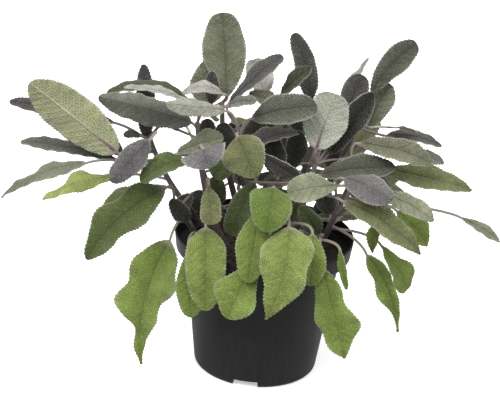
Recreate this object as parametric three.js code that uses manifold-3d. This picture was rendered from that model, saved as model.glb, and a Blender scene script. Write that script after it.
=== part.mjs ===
// Potted sage: a purple-leaved sage in a 12 cm nursery pot. Millimetres, +Z up. The origin is
// at the middle of the pot's underside, the plant's front is -Y, and +X is to its right.
import * as THREE from "three";
import { mergeVertices } from "three/addons/utils/BufferGeometryUtils.js";
import Module from "manifold-3d";

// The pot, measured outside.
const rimRadius = 60;
const potHeight = 96.25;
const footRadius = 41.9;
const bodyTopRadius = 52.2;
const collarHeight = 11.8;
const collarFootRadius = 58.6;
const heelRadius = 4;
const wall = 1.2;
const floorThickness = 1.4;
const rimRound = 0.5;
const potSides = 36;

// Drainage slots through the heel.
const slotCount = 3;
const slotWidth = 17;
const slotHeight = 5;
const pocketReach = 10;
const firstSlotAngle = -98;

// The soil, which rises to a low crown in the middle, and the gap that touching pieces keep.
const soilTop = 84;
const soilCrown = 3;
const soilRings = [1, 0.8, 0.55, 0.3, 0];
const gap = 0.35;
const rootDepth = 18;
const holeSides = 8;

// Stems.
const stemRadiusLow = 2.2;
const stemRadiusHigh = 1.4;
const stemSides = 6;
const stemSteps = 4;

// Leaves: a petiole bends into the line of its blade, and the blade thins and folds from its base on.
const petioleHalf = 0.9;
const petioleThickness = 1.7;
const bendShare = 0.35;
const bendLimit = 12;
const bladeThickness = 0.7;
const thinBy = 0.25;
const foldedBy = 0.2;
const waveLength = 30;
const waveShift = 2;
const waveSpread = 0.6;
const petioleStations = [0, 0.5];
const bladeStations = [0, 0.13, 0.31, 0.5, 0.69, 0.86, 0.98];
const fewerStations = [0, 0.18, 0.45, 0.74, 0.97];
const shortBlade = 30;

// Leaf colours: purple-grey in the light, green low down.
const greyLeaf = 0x616857;
const greenLeaf = 0x718c4c;

// A blade faces the light at the front unless it is turned about its midrib.
const light = new THREE.Vector3(0, -0.92, 0.38).normalize();

// How far a leaf may be swung, in mm at its tip along the light's direction, to hang clear of the others.
const swings = [0, 4, -4, 8, -8, 12, -12, 16, -16, 20, -20, 24, -24, 28, -28];
const clearance = 3.8;
const potClearance = 2.5;
const bladeChecks = 12;
const petioleChecks = 8;

// What a leaf has unless its row says otherwise: the turn of its face in degrees, the arch of its midrib,
// its sideways curve, the fold of its halves in degrees (below zero they hang like a roof), the height of
// its waves, the share of its length where it is widest, and how far its neck and its point are drawn out.
const plainLeaf = { turn: 0, arch: 2, sweep: 0, fold: 8, wave: 0.8, widest: 0.5, neck: 0.65, point: 0.42 };

// Each stem: its colour, its path from the soil up, how many leaves grow on its hidden side, and the
// leaves that show. A leaf grows at a share of the stem's length. Its base and tip are its blade's ends.
const stems = {
  left_low: {
    color: greenLeaf,
    path: [[-42, -6, soilTop], [-50, -10, 102], [-62, -18, 122]],
    hidden: 1,
    leaves: [
      { at: 0.95, base: [-66, -34, 136], tip: [-112, -60, 94], width: 27, turn: 15, arch: 5,
        sweep: 4, fold: 10, wave: 1.2, widest: 0.4, point: 0.55 },
      { at: 0.7, base: [-61, -36, 101], tip: [-74, -60, 22], width: 34, arch: 6, sweep: 7, fold: 22,
        wave: 2, widest: 0.33, point: 1.5 },
      { at: 0.3, base: [-48, -46, 98], tip: [-43, -50, 55], width: 18, widest: 0.6 },
      { at: 0.85, base: [-50, 2, 119], tip: [-60, 14, 100], width: 12 },
      { at: 0.4, base: [-50, -8, 104], tip: [-63, -4, 116], width: 12 },
    ],
  },
  left: {
    color: greyLeaf,
    path: [[-34, 8, soilTop], [-62, 10, 118], [-80, 4, 156]],
    hidden: 2,
    leaves: [
      { at: 0.9, base: [-99, -20, 153], tip: [-154, -35, 201], width: 30, turn: 172, arch: 3,
        fold: 6, wave: 0.2, widest: 0.52, neck: 0.45, point: 0.5 },
      { at: 0.95, base: [-104, 10, 162], tip: [-172, 0, 175], width: 14, turn: 30, arch: 3, fold: 10,
        wave: 0.4 },
      { at: 0.88, base: [-96, -2, 145], tip: [-146, -12, 172], width: 26, turn: 50 },
      { at: 0.8, base: [-100, -6, 142], tip: [-166, -2, 149], width: 14, turn: 48, arch: 3,
        point: 0.36 },
      { at: 0.75, base: [-118, -25, 146], tip: [-170, -40, 124], width: 16, turn: 52, arch: 6,
        fold: -8, wave: 1.6, widest: 0.3, point: 1 },
      { at: 0.6, base: [-100, 6, 126], tip: [-149, 0, 108], width: 15, turn: 44, arch: 5, fold: -6,
        wave: 2.5, widest: 0.4, point: 0.6 },
      { at: 1, base: [-77, -38, 170], tip: [-99, -52, 145], width: 18, arch: 3, fold: -14 },
      { at: 0.85, base: [-83, 20, 146], tip: [-88, 28, 198], width: 14, turn: 20, arch: 0, fold: 10,
        wave: 0.3, widest: 0.5 },
      { at: 0.5, base: [-84, -12, 125], tip: [-106, -20, 113], width: 14, turn: 20, fold: 6 },
      { at: 0.97, base: [-86, -6, 160], tip: [-96, -12, 162], width: 8, turn: 40, fold: -10,
        wave: 0.4 },
    ],
  },
  left_middle: {
    color: greyLeaf,
    path: [[-24, -12, soilTop], [-40, -10, 124], [-49, -4, 172]],
    hidden: 3,
    leaves: [
      { at: 0.95, base: [-53, -6, 172], tip: [-113, -20, 190], width: 26, turn: 4, arch: 8,
        fold: -42, wave: 1, widest: 0.45 },
      { at: 1, base: [-54, 10, 180], tip: [-110, 2, 185], width: 18, turn: 60, arch: 9, wave: 0.5 },
      { at: 1, base: [-50, -14, 187], tip: [-96, -24, 199], width: 9, turn: 58, arch: 3, wave: 0.5 },
      { at: 0.9, base: [-60, 4, 162], tip: [-101, 2, 176], width: 13, turn: 64, fold: 6, wave: 0.3 },
      { at: 0.75, base: [-43, -44, 168], tip: [-38, -57, 161], width: 31, arch: 2, fold: 6,
        widest: 0.3, neck: 0.4, point: 0.5 },
      { at: 0.8, base: [-60, -32, 160], tip: [-31, -34, 174], width: 15, turn: -35, arch: 0,
        sweep: -2, wave: 2, widest: 0.6 },
      { at: 0.7, base: [-53, -26, 153], tip: [-81, -36, 140], width: 18, turn: 40, arch: 5, wave: 1 },
      { at: 0.5, base: [-38, -44, 145], tip: [-34, -64, 126], width: 15, fold: 14, wave: 1.4,
        widest: 0.76, neck: 1.3, point: 0.34 },
      { at: 0.35, base: [-38, -50, 118], tip: [-34, -70, 69], width: 27, arch: 4, widest: 0.33,
        point: 0.45 },
      { at: 0.4, base: [-41, 4, 104], tip: [-48, 8, 119], width: 14 },
    ],
  },
  left_back: {
    color: greyLeaf,
    path: [[-12, 18, soilTop], [-28, 16, 135], [-34, 10, 182]],
    hidden: 6,
    leaves: [
      { at: 1, base: [-30, -6, 186], tip: [3, 2, 219], width: 15, turn: -40, fold: 10, widest: 0.68,
        neck: 0.9, point: 0.36 },
      { at: 1, base: [-34, -1, 191], tip: [-60, -4, 191], width: 13, turn: 48, arch: 6, fold: -6 },
      { at: 1, base: [-31, 14, 184], tip: [-38, 22, 239], width: 29, arch: -3, fold: 7, wave: 1.2,
        widest: 0.54, neck: 0.8, point: 0.33 },
      { at: 0.92, base: [-45, 26, 173], tip: [-46, 34, 204], width: 24, turn: 10, arch: 0,
        widest: 0.38, point: 0.7 },
      { at: 0.5, base: [-22, 28, 130], tip: [-28, 32, 160], width: 15, arch: 0, wave: 0.4 },
      { at: 0.6, base: [-28, 8, 143], tip: [-33, 12, 167], width: 16, arch: 0 },
      { at: 0.55, base: [-17, 14, 148], tip: [-7, 18, 170], width: 17, arch: 0 },
      { at: 0.7, base: [-43, 12, 147], tip: [-43, 15, 168], width: 14, arch: 0 },
      { at: 0.2, base: [-30, 6, 111], tip: [-36, 9, 130], width: 13 },
      { at: 0.6, base: [-20, 22, 145], tip: [-15, 25, 164], width: 16, arch: 0 },
      { at: 1, base: [-41, 9, 180], tip: [-42, 9, 203], width: 10, arch: 0 },
    ],
  },
  middle: {
    color: greyLeaf,
    path: [[-2, -14, soilTop], [-14, -14, 128], [-22, -14, 174]],
    hidden: 3,
    leaves: [
      { at: 0.95, base: [-22, -26, 172], tip: [-8, -43, 152], width: 29, turn: 14, arch: 3, wave: 1,
        widest: 0.42, point: 0.55 },
      { at: 0.8, base: [-22, -22, 160], tip: [-36, -30, 145], width: 18, turn: 10 },
      { at: 0.98, base: [-31, -18, 186], tip: [-68, -34, 193], width: 14, turn: 20, fold: -28,
        wave: 1.2, widest: 0.55 },
      { at: 1, base: [-29, -15, 188], tip: [-12, -23, 195], width: 12, turn: -45, arch: 3 },
      { at: 0.9, base: [-14, -18, 182], tip: [27, -14, 192], width: 23, turn: -22, arch: 4,
        widest: 0.55 },
      { at: 0.5, base: [-9, -26, 142], tip: [-23, -34, 107], width: 18, widest: 0.55 },
      { at: 0.6, base: [22, -8, 140], tip: [-6, -16, 157], width: 11, turn: -30 },
      { at: 0.5, base: [-19, 0, 129], tip: [-9, 3, 140], width: 14 },
    ],
  },
  back: {
    color: greyLeaf,
    path: [[8, 26, soilTop], [8, 26, 139], [10, 20, 184]],
    hidden: 8,
    leaves: [
      { at: 1, base: [-7, 14, 188], tip: [-16, 20, 211], width: 21, turn: 10, fold: 34, wave: 1.2 },
      { at: 0.95, base: [4, 0, 182], tip: [-17, -4, 194], width: 13, turn: 40, arch: 3, fold: 6 },
      { at: 1, base: [23, 16, 184], tip: [9, 24, 228], width: 15, turn: -10, arch: 0, sweep: 3,
        wave: 0.4, widest: 0.45, point: 0.35 },
      { at: 1, base: [4, 6, 192], tip: [22, 0, 213], width: 13, turn: -40, fold: 12, wave: 0.5 },
      { at: 0.6, base: [2, 22, 136], tip: [-5, 28, 168], width: 16, arch: 0, wave: 0.5 },
      { at: 0.8, base: [20, 26, 154], tip: [12, 30, 172], width: 15, arch: 0, wave: 0.5 },
      { at: 0.4, base: [4, 6, 135], tip: [0, 10, 162], width: 17, arch: 0 },
      { at: 0.6, base: [15, 12, 137], tip: [18, 16, 164], width: 15, arch: 0 },
      { at: 0.35, base: [-4, 14, 125], tip: [24, 17, 132], width: 15, turn: -30 },
    ],
  },
  front: {
    color: greenLeaf,
    path: [[12, -32, soilTop], [4, -36, 112], [5, -42, 136]],
    hidden: 1,
    leaves: [
      { at: 0.85, base: [14, -67, 130], tip: [4, -90, 76], width: 34, arch: 6, sweep: -4, wave: 1.5,
        widest: 0.31, point: 1 },
      { at: 1, base: [3, -44, 146], tip: [0, -74, 128], width: 27, arch: 5, fold: 6, widest: 0.45 },
      { at: 0.9, base: [-5, -53, 132], tip: [-9, -79, 95], width: 22, arch: 4, fold: 12, point: 0.45 },
      { at: 0.5, base: [-5, -62, 103], tip: [-20, -76, 68], width: 25, turn: 10, arch: 4, wave: 2.4,
        widest: 0.7, point: 0.55 },
      { at: 0.6, base: [30, -50, 119], tip: [31, -64, 89], width: 18, arch: 3, widest: 0.55 },
    ],
  },
  right_middle: {
    color: greyLeaf,
    path: [[20, -2, soilTop], [24, -6, 122], [30, -6, 150]],
    hidden: 5,
    leaves: [
      { at: 1, base: [29, -12, 162], tip: [38, -6, 199], width: 29, turn: 178, fold: 6, widest: 0.56,
        neck: 0.5, point: 0.34 },
      { at: 0.95, base: [37, 0, 154], tip: [63, 8, 197], width: 18, turn: 15, arch: 0, fold: 16,
        widest: 0.62, point: 0.5 },
      { at: 0.85, base: [33, -6, 142], tip: [81, -16, 155], width: 19, turn: -28, arch: 4,
        widest: 0.58, point: 0.5 },
      { at: 0.55, base: [48, -36, 137], tip: [99, -56, 113], width: 19, turn: -24, arch: 9, wave: 1,
        point: 0.75 },
      { at: 0.98, base: [47, 16, 176], tip: [56, 22, 204], width: 18, arch: 0, fold: 6, widest: 0.6,
        point: 0.36 },
      { at: 1, base: [44, 28, 186], tip: [60, 34, 212], width: 10, turn: -70, arch: 0, wave: 0.4 },
      { at: 0.2, base: [36, -6, 99], tip: [22, -2, 118], width: 13 },
      { at: 0.4, base: [43, 8, 109], tip: [36, 12, 125], width: 13 },
      { at: 0.25, base: [17, 8, 101], tip: [22, 11, 122], width: 14 },
    ],
  },
  right: {
    color: greyLeaf,
    path: [[38, 4, soilTop], [46, 0, 112], [55, -4, 142]],
    hidden: 3,
    leaves: [
      { at: 0.6, base: [48, -30, 150], tip: [77, -54, 147], width: 21, turn: -25, arch: 5, fold: -16,
        wave: 1, widest: 0.6, point: 0.38 },
      { at: 0.5, base: [46, -34, 147], tip: [12, -46, 144], width: 20, turn: 22, arch: 3, wave: 1,
        widest: 0.7, neck: 1.1, point: 0.38 },
      { at: 1, base: [57, 2, 163], tip: [103, -10, 157], width: 18, turn: -28, arch: 5, fold: 10,
        wave: 1, widest: 0.55 },
      { at: 0.95, base: [78, 4, 145], tip: [133, -8, 140], width: 20, turn: -30, arch: 3, wave: 1,
        widest: 0.42, point: 0.7 },
      { at: 0.85, base: [76, -22, 138], tip: [107, -38, 129], width: 16, turn: -30, arch: 3, wave: 1,
        point: 0.6 },
      { at: 0.6, base: [86, -4, 120], tip: [108, -10, 99], width: 18, turn: -30, arch: 3, wave: 1.2,
        widest: 0.6, point: 0.8 },
      { at: 0.75, base: [130, 2, 116], tip: [156, -6, 104], width: 9, turn: -40, wave: 0.4,
        widest: 0.6, point: 0.7 },
      { at: 0.5, base: [72, -10, 112], tip: [72, -16, 94], width: 10, turn: 30, arch: 1, fold: 10,
        wave: 0.4, widest: 0.35, point: 0.9 },
      { at: 0.35, base: [68, -20, 94], tip: [93, -30, 44], width: 15, turn: 20, arch: -3, sweep: -4,
        fold: 20, wave: 2, widest: 0.35, point: 1.1 },
      { at: 0.3, base: [78, -8, 96], tip: [98, -8, 65], width: 19, turn: -35, arch: 3, wave: 2.5,
        widest: 0.72, neck: 1, point: 0.3 },
    ],
  },
  right_back: {
    color: greyLeaf,
    path: [[28, 26, soilTop], [46, 26, 138], [60, 20, 178]],
    hidden: 6,
    leaves: [
      { at: 1, base: [63, 14, 194], tip: [91, 18, 231], width: 18, arch: 0, sweep: -3, fold: 6,
        widest: 0.65, neck: 0.8, point: 0.34 },
      { at: 0.9, base: [62, 24, 166], tip: [75, 28, 198], width: 19, arch: 0, fold: 6, wave: 0.5,
        widest: 0.6 },
      { at: 0.95, base: [64, 10, 172], tip: [96, 18, 168], width: 12, turn: -90, fold: 4, wave: 0.4 },
      { at: 0.85, base: [76, 14, 166], tip: [114, 8, 164], width: 14, turn: -50, arch: 4, wave: 0.5,
        point: 0.6 },
      { at: 0.7, base: [84, 14, 152], tip: [116, 16, 149], width: 13, turn: -40, arch: 3, wave: 0.5 },
      { at: 0.4, base: [46, 32, 130], tip: [34, 38, 162], width: 17, arch: 0, wave: 0.5 },
    ],
  },
  right_front: {
    color: greenLeaf,
    path: [[28, -22, soilTop], [32, -29, 101], [37, -34, 112]],
    hidden: 0,
    leaves: [
      { at: 0.9, base: [38, -56, 98], tip: [57, -67, 41], width: 25, arch: 3, wave: 2, widest: 0.62,
        neck: 0.6, point: 0.9 },
      { at: 0.8, base: [49, -36, 103], tip: [55, -43, 79], width: 6, turn: 30, arch: 1, wave: 0.4 },
    ],
  },
  back_left_low: {
    color: greyLeaf,
    path: [[-26, 30, soilTop], [-42, 44, 112], [-52, 54, 134]],
    hidden: 6,
    leaves: [],
  },
  back_right_low: {
    color: greyLeaf,
    path: [[16, 42, soilTop], [24, 56, 116], [30, 66, 140]],
    hidden: 7,
    leaves: [],
  },
};

// Leaves on the hidden side, drawn between these limits: lengths in mm and turns in degrees. Heading is
// counted from +X towards the back, and pitch from level up.
const hiddenSeed = 2311;
const hiddenTries = 200;
const slenderness = 0.38;
const hiddenArch = 7;
const hiddenSlant = 0.4;
const draws = {
  heading: [-5, 185],
  pitch: [-30, 60],
  length: [42, 62],
  petiole: [12, 26],
  rise: [0, 10],
  turn: [-25, 25],
  sweep: [-3, 3],
  fold: [-12, 14],
};

// Seen from the front, 22 degrees above the ground, the hidden leaves stay behind the ones that show:
// boxes of that view, in mm from the middle of the plant, as left, low, right and high.
const viewHeight = 120;
const viewTilt = 22.4;
const behind = [
  [-36, -60, 84, 62],
  [-112, 48, -30, 66],
  [-112, -48, -58, -8],
  [70, -12, 124, 28],
  [-60, -70, 60, -20],
];

const wasm = await Module();
wasm.setup();

const radians = THREE.MathUtils.degToRad;
const point = (xyz) => new THREE.Vector3(...xyz);

// Random draws between two limits, the same ones every time.
function drawsFrom(seed) {
  let state = seed;
  return (low, high) => {
    state = (state * 16807) % 2147483647;
    return low + ((high - low) * state) / 2147483647;
  };
}

// A closed skin over rings of points. The second half of each ring is split the other way, so that the
// two faces of a thin blade are split alike, and its ends are closed straight across.
function loft(rings) {
  const count = rings[0].length;
  const half = count / 2;
  const index = [];
  for (let row = 0; row + 1 < rings.length; row += 1) {
    for (let i = 0; i < count; i += 1) {
      const a = row * count + i;
      const b = row * count + ((i + 1) % count);
      const c = b + count;
      const d = a + count;
      index.push(...(i < half ? [a, b, c, a, c, d] : [a, b, d, b, c, d]));
    }
  }
  const last = (rings.length - 1) * count;
  for (let i = 0; i + 1 < half; i += 1) {
    const j = count - 1 - i;
    index.push(i, j, j - 1, i, j - 1, i + 1);
    index.push(last + i, last + j - 1, last + j, last + i, last + i + 1, last + j - 1);
  }
  const geometry = new THREE.BufferGeometry();
  const positions = rings.flat().flatMap((p) => [p.x, p.y, p.z]);
  geometry.setAttribute("position", new THREE.Float32BufferAttribute(positions, 3));
  geometry.setIndex(index);
  return geometry;
}

function solid(geometry) {
  geometry.deleteAttribute("normal");
  geometry.deleteAttribute("uv");
  const merged = mergeVertices(geometry, 1e-4);
  const vertProperties = new Float32Array(merged.attributes.position.array);
  const triVerts = new Uint32Array(merged.index.array);
  return new wasm.Manifold(new wasm.Mesh({ numProp: 3, vertProperties, triVerts }));
}

function meshOf(name, body, material) {
  const { vertProperties, triVerts } = body.getMesh();
  const geometry = new THREE.BufferGeometry();
  geometry.setAttribute("position", new THREE.Float32BufferAttribute(vertProperties, 3));
  geometry.setIndex(Array.from(triVerts));
  geometry.computeVertexNormals();
  const mesh = new THREE.Mesh(geometry, material);
  mesh.name = name;
  return mesh;
}

// A lathe about +Z, from a closed profile of [radius, height] points.
function turned(profile, sides) {
  const outline = profile.map(([r, z]) => new THREE.Vector2(r, z));
  return new THREE.LatheGeometry(outline, sides).rotateX(Math.PI / 2);
}

function upright(radius, low, high, sides) {
  const geometry = new THREE.CylinderGeometry(radius, radius, high - low, sides);
  return geometry.rotateX(Math.PI / 2).translate(0, 0, (low + high) / 2);
}

// Outside radius of the pot at a height.
function potRadius(z) {
  const bodyTop = potHeight - collarHeight;
  if (z > bodyTop) return rimRadius + ((z - potHeight) * (rimRadius - collarFootRadius)) / collarHeight;
  return footRadius + ((z - heelRadius) * (bodyTopRadius - footRadius)) / (bodyTop - heelRadius);
}

function insideRadius(z) {
  const top = potHeight - collarHeight + wall;
  const taper = (bodyTopRadius - footRadius) / (top - heelRadius);
  return footRadius - wall + (z - heelRadius) * taper;
}

// A block that reaches inwards from the heel, from as far under the ground as it is high.
function pocket(reach, width, height, angle) {
  const block = new THREE.BoxGeometry(2 * reach, width, 2 * height);
  return solid(block.translate(footRadius, 0, 0).rotateZ(radians(angle)));
}

function makePot() {
  const bodyTop = potHeight - collarHeight;
  const heel = [];
  for (const angle of [0, 30, 60, 90]) {
    const x = footRadius - heelRadius + heelRadius * Math.sin(radians(angle));
    heel.push([x, heelRadius - heelRadius * Math.cos(radians(angle))]);
  }
  const outside = [
    ...heel,
    [bodyTopRadius, bodyTop],
    [collarFootRadius, bodyTop],
    [rimRadius, potHeight - rimRound],
    [rimRadius - rimRound, potHeight],
  ];
  const inside = [
    [rimRadius - wall, potHeight],
    [collarFootRadius - wall, bodyTop + wall],
    [bodyTopRadius - wall, bodyTop + wall],
    [footRadius - wall, heelRadius],
    [footRadius - heelRadius, floorThickness],
  ];
  const block = solid(turned([[0, 0], ...outside, [0, potHeight]], potSides));
  let body = solid(turned([[0, 0], ...outside, ...inside, [0, floorThickness]], potSides));
  for (let k = 0; k < slotCount; k += 1) {
    const angle = firstSlotAngle + (360 * k) / slotCount;
    const roof = pocket(pocketReach + wall, slotWidth + 2 * wall, slotHeight + wall, angle);
    const slot = pocket(pocketReach, slotWidth, slotHeight, angle);
    const drain = pocket(pocketReach + 2 * wall, slotWidth / 2, slotHeight - 1, angle);
    body = body.add(roof.intersect(block)).subtract(slot).subtract(drain);
  }
  const plastic = new THREE.MeshStandardMaterial({ color: 0x2c2c2b, roughness: 0.55, metalness: 0 });
  return meshOf("pot", body, plastic);
}

function makeSoil() {
  const low = slotHeight + wall + gap;
  const edge = insideRadius(soilTop) - gap;
  const top = soilRings.map((share) => [share * edge, soilTop + soilCrown * (1 - share * share)]);
  let body = solid(turned([[0, low], [insideRadius(low) - gap, low], ...top], potSides));
  for (const { path } of Object.values(stems)) {
    const holeRadius = stemRadiusLow + 2 * gap;
    const hole = upright(holeRadius, soilTop - rootDepth - gap, soilTop + 2 * soilCrown, holeSides);
    body = body.subtract(solid(hole.translate(path[0][0], path[0][1], 0)));
  }
  const compost = new THREE.MeshStandardMaterial({ color: 0x2a2320, roughness: 0.95, metalness: 0 });
  return meshOf("soil", body, compost);
}

// A stem's middle line above the soil: a curve from its knee through its middle point to its top.
function stemLine([foot, middle, top]) {
  const knee = point(foot).setZ(soilTop + soilCrown + 1);
  const pull = point(middle).multiplyScalar(2).addScaledVector(knee, -0.5).addScaledVector(point(top), -0.5);
  return new THREE.QuadraticBezierCurve3(knee, pull, point(top));
}

function makeStem(path) {
  const line = stemLine(path);
  const [x, y] = path[0];
  const spine = [new THREE.Vector3(x, y, soilTop - rootDepth), ...line.getPoints(stemSteps)];
  const rings = spine.map((centre, row) => {
    const share = Math.max(0, row - 1) / stemSteps;
    const radius = THREE.MathUtils.lerp(stemRadiusLow, stemRadiusHigh, share);
    const along = row < 2 ? new THREE.Vector3(0, 0, 1) : line.getTangent(share);
    const across = new THREE.Vector3(0, 1, 0).cross(along).normalize();
    const deep = along.clone().cross(across);
    return Array.from({ length: stemSides }, (_, k) => {
      const angle = (2 * Math.PI * k) / stemSides;
      const ring = across.clone().multiplyScalar(radius * Math.cos(angle));
      return ring.addScaledVector(deep, radius * Math.sin(angle)).add(centre);
    });
  });
  return loft(rings);
}

// Half the blade's width at a share of its length.
function halfWidth({ width, widest, neck, point }, t) {
  const quarter = Math.PI / 2;
  const shape = t < widest
    ? Math.sin((quarter * t) / widest) ** neck
    : Math.cos((quarter * (t - widest)) / (1 - widest)) ** point;
  return Math.max(petioleHalf, (width / 2) * shape);
}

// A leaf from its row: where it grows, which way its face is, and where its petiole bends.
function leafFrom(root, base, tip, form, facing) {
  const along = tip.clone().sub(base);
  const ahead = along.clone().normalize();
  const face = facing.clone().addScaledVector(ahead, -facing.dot(ahead)).normalize();
  face.applyAxisAngle(ahead, radians(form.turn));
  const side = ahead.clone().cross(face);
  const reach = base.distanceTo(root);
  const bend = base.clone().addScaledVector(ahead, -Math.min(bendShare * reach, bendLimit));
  return { ...form, root, bend, base, along, face, side };
}

// The place and the upward direction of a blade at t along it and u across it, from -1 to 1. Its waves
// spread outwards where they rise. Where it folds, its two skins meet in a mitre.
function onBlade(leaf, t, u) {
  const rise = 4 * t * (1 - t);
  const slope = 4 * (1 - 2 * t);
  const rib = leaf.base.clone().addScaledVector(leaf.along, t);
  rib.addScaledVector(leaf.face, leaf.arch * rise).addScaledVector(leaf.side, leaf.sweep * rise);
  const ahead = leaf.along.clone().addScaledVector(leaf.face, leaf.arch * slope);
  ahead.addScaledVector(leaf.side, leaf.sweep * slope).normalize();
  const up = leaf.face.clone().addScaledVector(ahead, -leaf.face.dot(ahead)).normalize();
  const side = ahead.clone().cross(up);
  const fold = radians(leaf.fold) * Math.min(1, t / foldedBy);
  const phase = (2 * Math.PI * leaf.along.length() * t) / waveLength + leaf.base.x + (u > 0 ? waveShift : 0);
  const wave = leaf.wave * Math.sin(phase) * u * u * Math.sin(Math.PI * t);
  const across = u * halfWidth(leaf, t) + Math.sign(u) * waveSpread * wave;
  const lift = Math.abs(across) * Math.sin(fold) + wave;
  const place = rib.addScaledVector(side, across * Math.cos(fold)).addScaledVector(up, lift);
  const mitre = u === 0 ? 1 / Math.cos(fold) : Math.cos(fold);
  const normal = up.clone().multiplyScalar(mitre).addScaledVector(side, -Math.sign(u) * Math.sin(fold));
  return { place, normal };
}

function onPetiole(leaf, t) {
  const curve = new THREE.QuadraticBezierCurve3(leaf.root, leaf.bend, leaf.base);
  return { place: curve.getPoint(t), ahead: curve.getTangent(t) };
}

function makeLeaf(leaf, hidden) {
  const rings = petioleStations.map((t) => {
    const { place, ahead } = onPetiole(leaf, t);
    const up = leaf.face.clone().addScaledVector(ahead, -leaf.face.dot(ahead)).normalize();
    const side = ahead.clone().cross(up);
    return [[-1, 1], [0, 1], [1, 1], [1, -1], [0, -1], [-1, -1]].map(([u, v]) => {
      const corner = place.clone().addScaledVector(side, u * petioleHalf);
      return corner.addScaledVector(up, (v * petioleThickness) / 2);
    });
  });
  const stations = hidden || leaf.along.length() < shortBlade ? fewerStations : bladeStations;
  for (const t of stations) {
    const thickness = THREE.MathUtils.lerp(petioleThickness, bladeThickness, Math.min(1, t / thinBy));
    const across = [-1, 0, 1].map((u) => onBlade(leaf, t, u));
    const upper = across.map(({ place, normal }) => place.clone().addScaledVector(normal, thickness / 2));
    const under = across.map(({ place, normal }) => place.clone().addScaledVector(normal, -thickness / 2));
    rings.push([...upper, ...under.reverse()]);
  }
  return loft(rings);
}

// Points all over a leaf, to keep leaves clear of one another.
function leafPoints(leaf) {
  const blade = [];
  const petiole = [];
  for (let i = 1; i <= bladeChecks; i += 1) {
    for (const u of [-1, -0.5, 0, 0.5, 1]) blade.push(onBlade(leaf, i / bladeChecks, u).place);
  }
  for (let i = 1; i <= petioleChecks; i += 1) petiole.push(onPetiole(leaf, i / petioleChecks).place);
  return { blade, petiole };
}

// Whether a point is in the pot's wall, the soil or the ground, or almost.
function inThePot(p) {
  const r = Math.hypot(p.x, p.y);
  if (p.z < potClearance) return true;
  if (p.z < soilTop + soilCrown) return r < potRadius(p.z) + potClearance;
  return p.z < potHeight + potClearance && Math.abs(r - rimRadius + wall) < wall + potClearance;
}

function near(points, others) {
  return points.some((p) => others.some((q) => p.distanceToSquared(q) < clearance * clearance));
}

// Petioles may meet on their own stem. Everything else stays clear.
function isClear(stem, leaf, placed) {
  const { blade, petiole } = leafPoints(leaf);
  if ([...blade, ...petiole.slice(1)].some(inThePot)) return false;
  for (const other of placed) {
    if (near(blade, other.blade)) return false;
    if (stem !== other.stem && near([...blade, ...petiole], [...other.blade, ...other.petiole])) return false;
    if (near(petiole.slice(3), other.blade) || near(blade, other.petiole.slice(3))) return false;
  }
  return true;
}

// Whether a leaf stays behind the ones that show.
function isBehind(leaf) {
  const tilt = radians(viewTilt);
  const { blade } = leafPoints(leaf);
  return blade.every((p) => {
    const high = p.y * Math.sin(tilt) + (p.z - viewHeight) * Math.cos(tilt);
    return behind.some(([left, low, right, top]) => p.x > left && p.x < right && high > low && high < top);
  });
}

// A leaf that shows, swung along the light by the first swing that keeps it clear.
function swungLeaf(stem, root, row, placed) {
  const options = swings.map((swing) => {
    const base = point(row.base).addScaledVector(light, swing / 2);
    const tip = point(row.tip).addScaledVector(light, swing);
    return leafFrom(root, base, tip, { ...plainLeaf, ...row }, light);
  });
  return options.find((leaf) => isClear(stem, leaf, placed)) ?? options[0];
}

// The leaves of every stem, first those that show and then the hidden ones.
function growLeaves() {
  const grown = {};
  const placed = [];
  for (const [stem, { path }] of Object.entries(stems)) {
    grown[stem] = [];
    placed.push({ stem, blade: [], petiole: stemLine(path).getPoints(24) });
  }
  for (const [stem, { path, leaves }] of Object.entries(stems)) {
    const line = stemLine(path);
    for (const row of leaves) {
      const leaf = swungLeaf(stem, line.getPoint(row.at), row, placed);
      grown[stem].push({ leaf, hidden: false });
      placed.push({ stem, ...leafPoints(leaf) });
    }
  }
  const draw = drawsFrom(hiddenSeed);
  for (const [stem, { path, hidden }] of Object.entries(stems)) {
    const line = stemLine(path);
    for (let k = 0; k < hidden; k += 1) {
      for (let attempt = 0; attempt < hiddenTries; attempt += 1) {
        const root = line.getPoint((k + 1) / hidden);
        const heading = radians(draw(...draws.heading));
        const pitch = radians(draw(...draws.pitch));
        const length = draw(...draws.length);
        const outward = new THREE.Vector3(Math.cos(heading), Math.sin(heading), 0);
        const ahead = outward.clone().multiplyScalar(Math.cos(pitch));
        ahead.z = Math.sin(pitch);
        const base = root.clone().addScaledVector(outward, draw(...draws.petiole));
        base.z += draw(...draws.rise);
        const tip = base.clone().addScaledVector(ahead, length);
        const facing = outward.multiplyScalar(hiddenSlant).setZ(1).normalize();
        const form = { ...plainLeaf, width: slenderness * length, arch: hiddenArch };
        for (const key of ["turn", "sweep", "fold"]) form[key] = draw(...draws[key]);
        const leaf = leafFrom(root, base, tip, form, facing);
        if (isBehind(leaf) && isClear(stem, leaf, placed)) {
          grown[stem].push({ leaf, hidden: true });
          placed.push({ stem, ...leafPoints(leaf) });
          break;
        }
      }
    }
  }
  return grown;
}

const sage = new THREE.Group();
sage.add(makePot(), makeSoil());
const grown = growLeaves();
for (const [stem, { color, path }] of Object.entries(stems)) {
  let body = solid(makeStem(path));
  for (const { leaf, hidden } of grown[stem]) body = body.add(solid(makeLeaf(leaf, hidden)));
  const leafSkin = new THREE.MeshStandardMaterial({ color, roughness: 0.85, metalness: 0 });
  sage.add(meshOf(`leafy_stem_${stem}`, body, leafSkin));
}

export default sage;
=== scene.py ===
import math
from functools import partial

import bmesh
import bpy
import numpy as np
from mathutils import Matrix, Vector, noise


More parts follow.
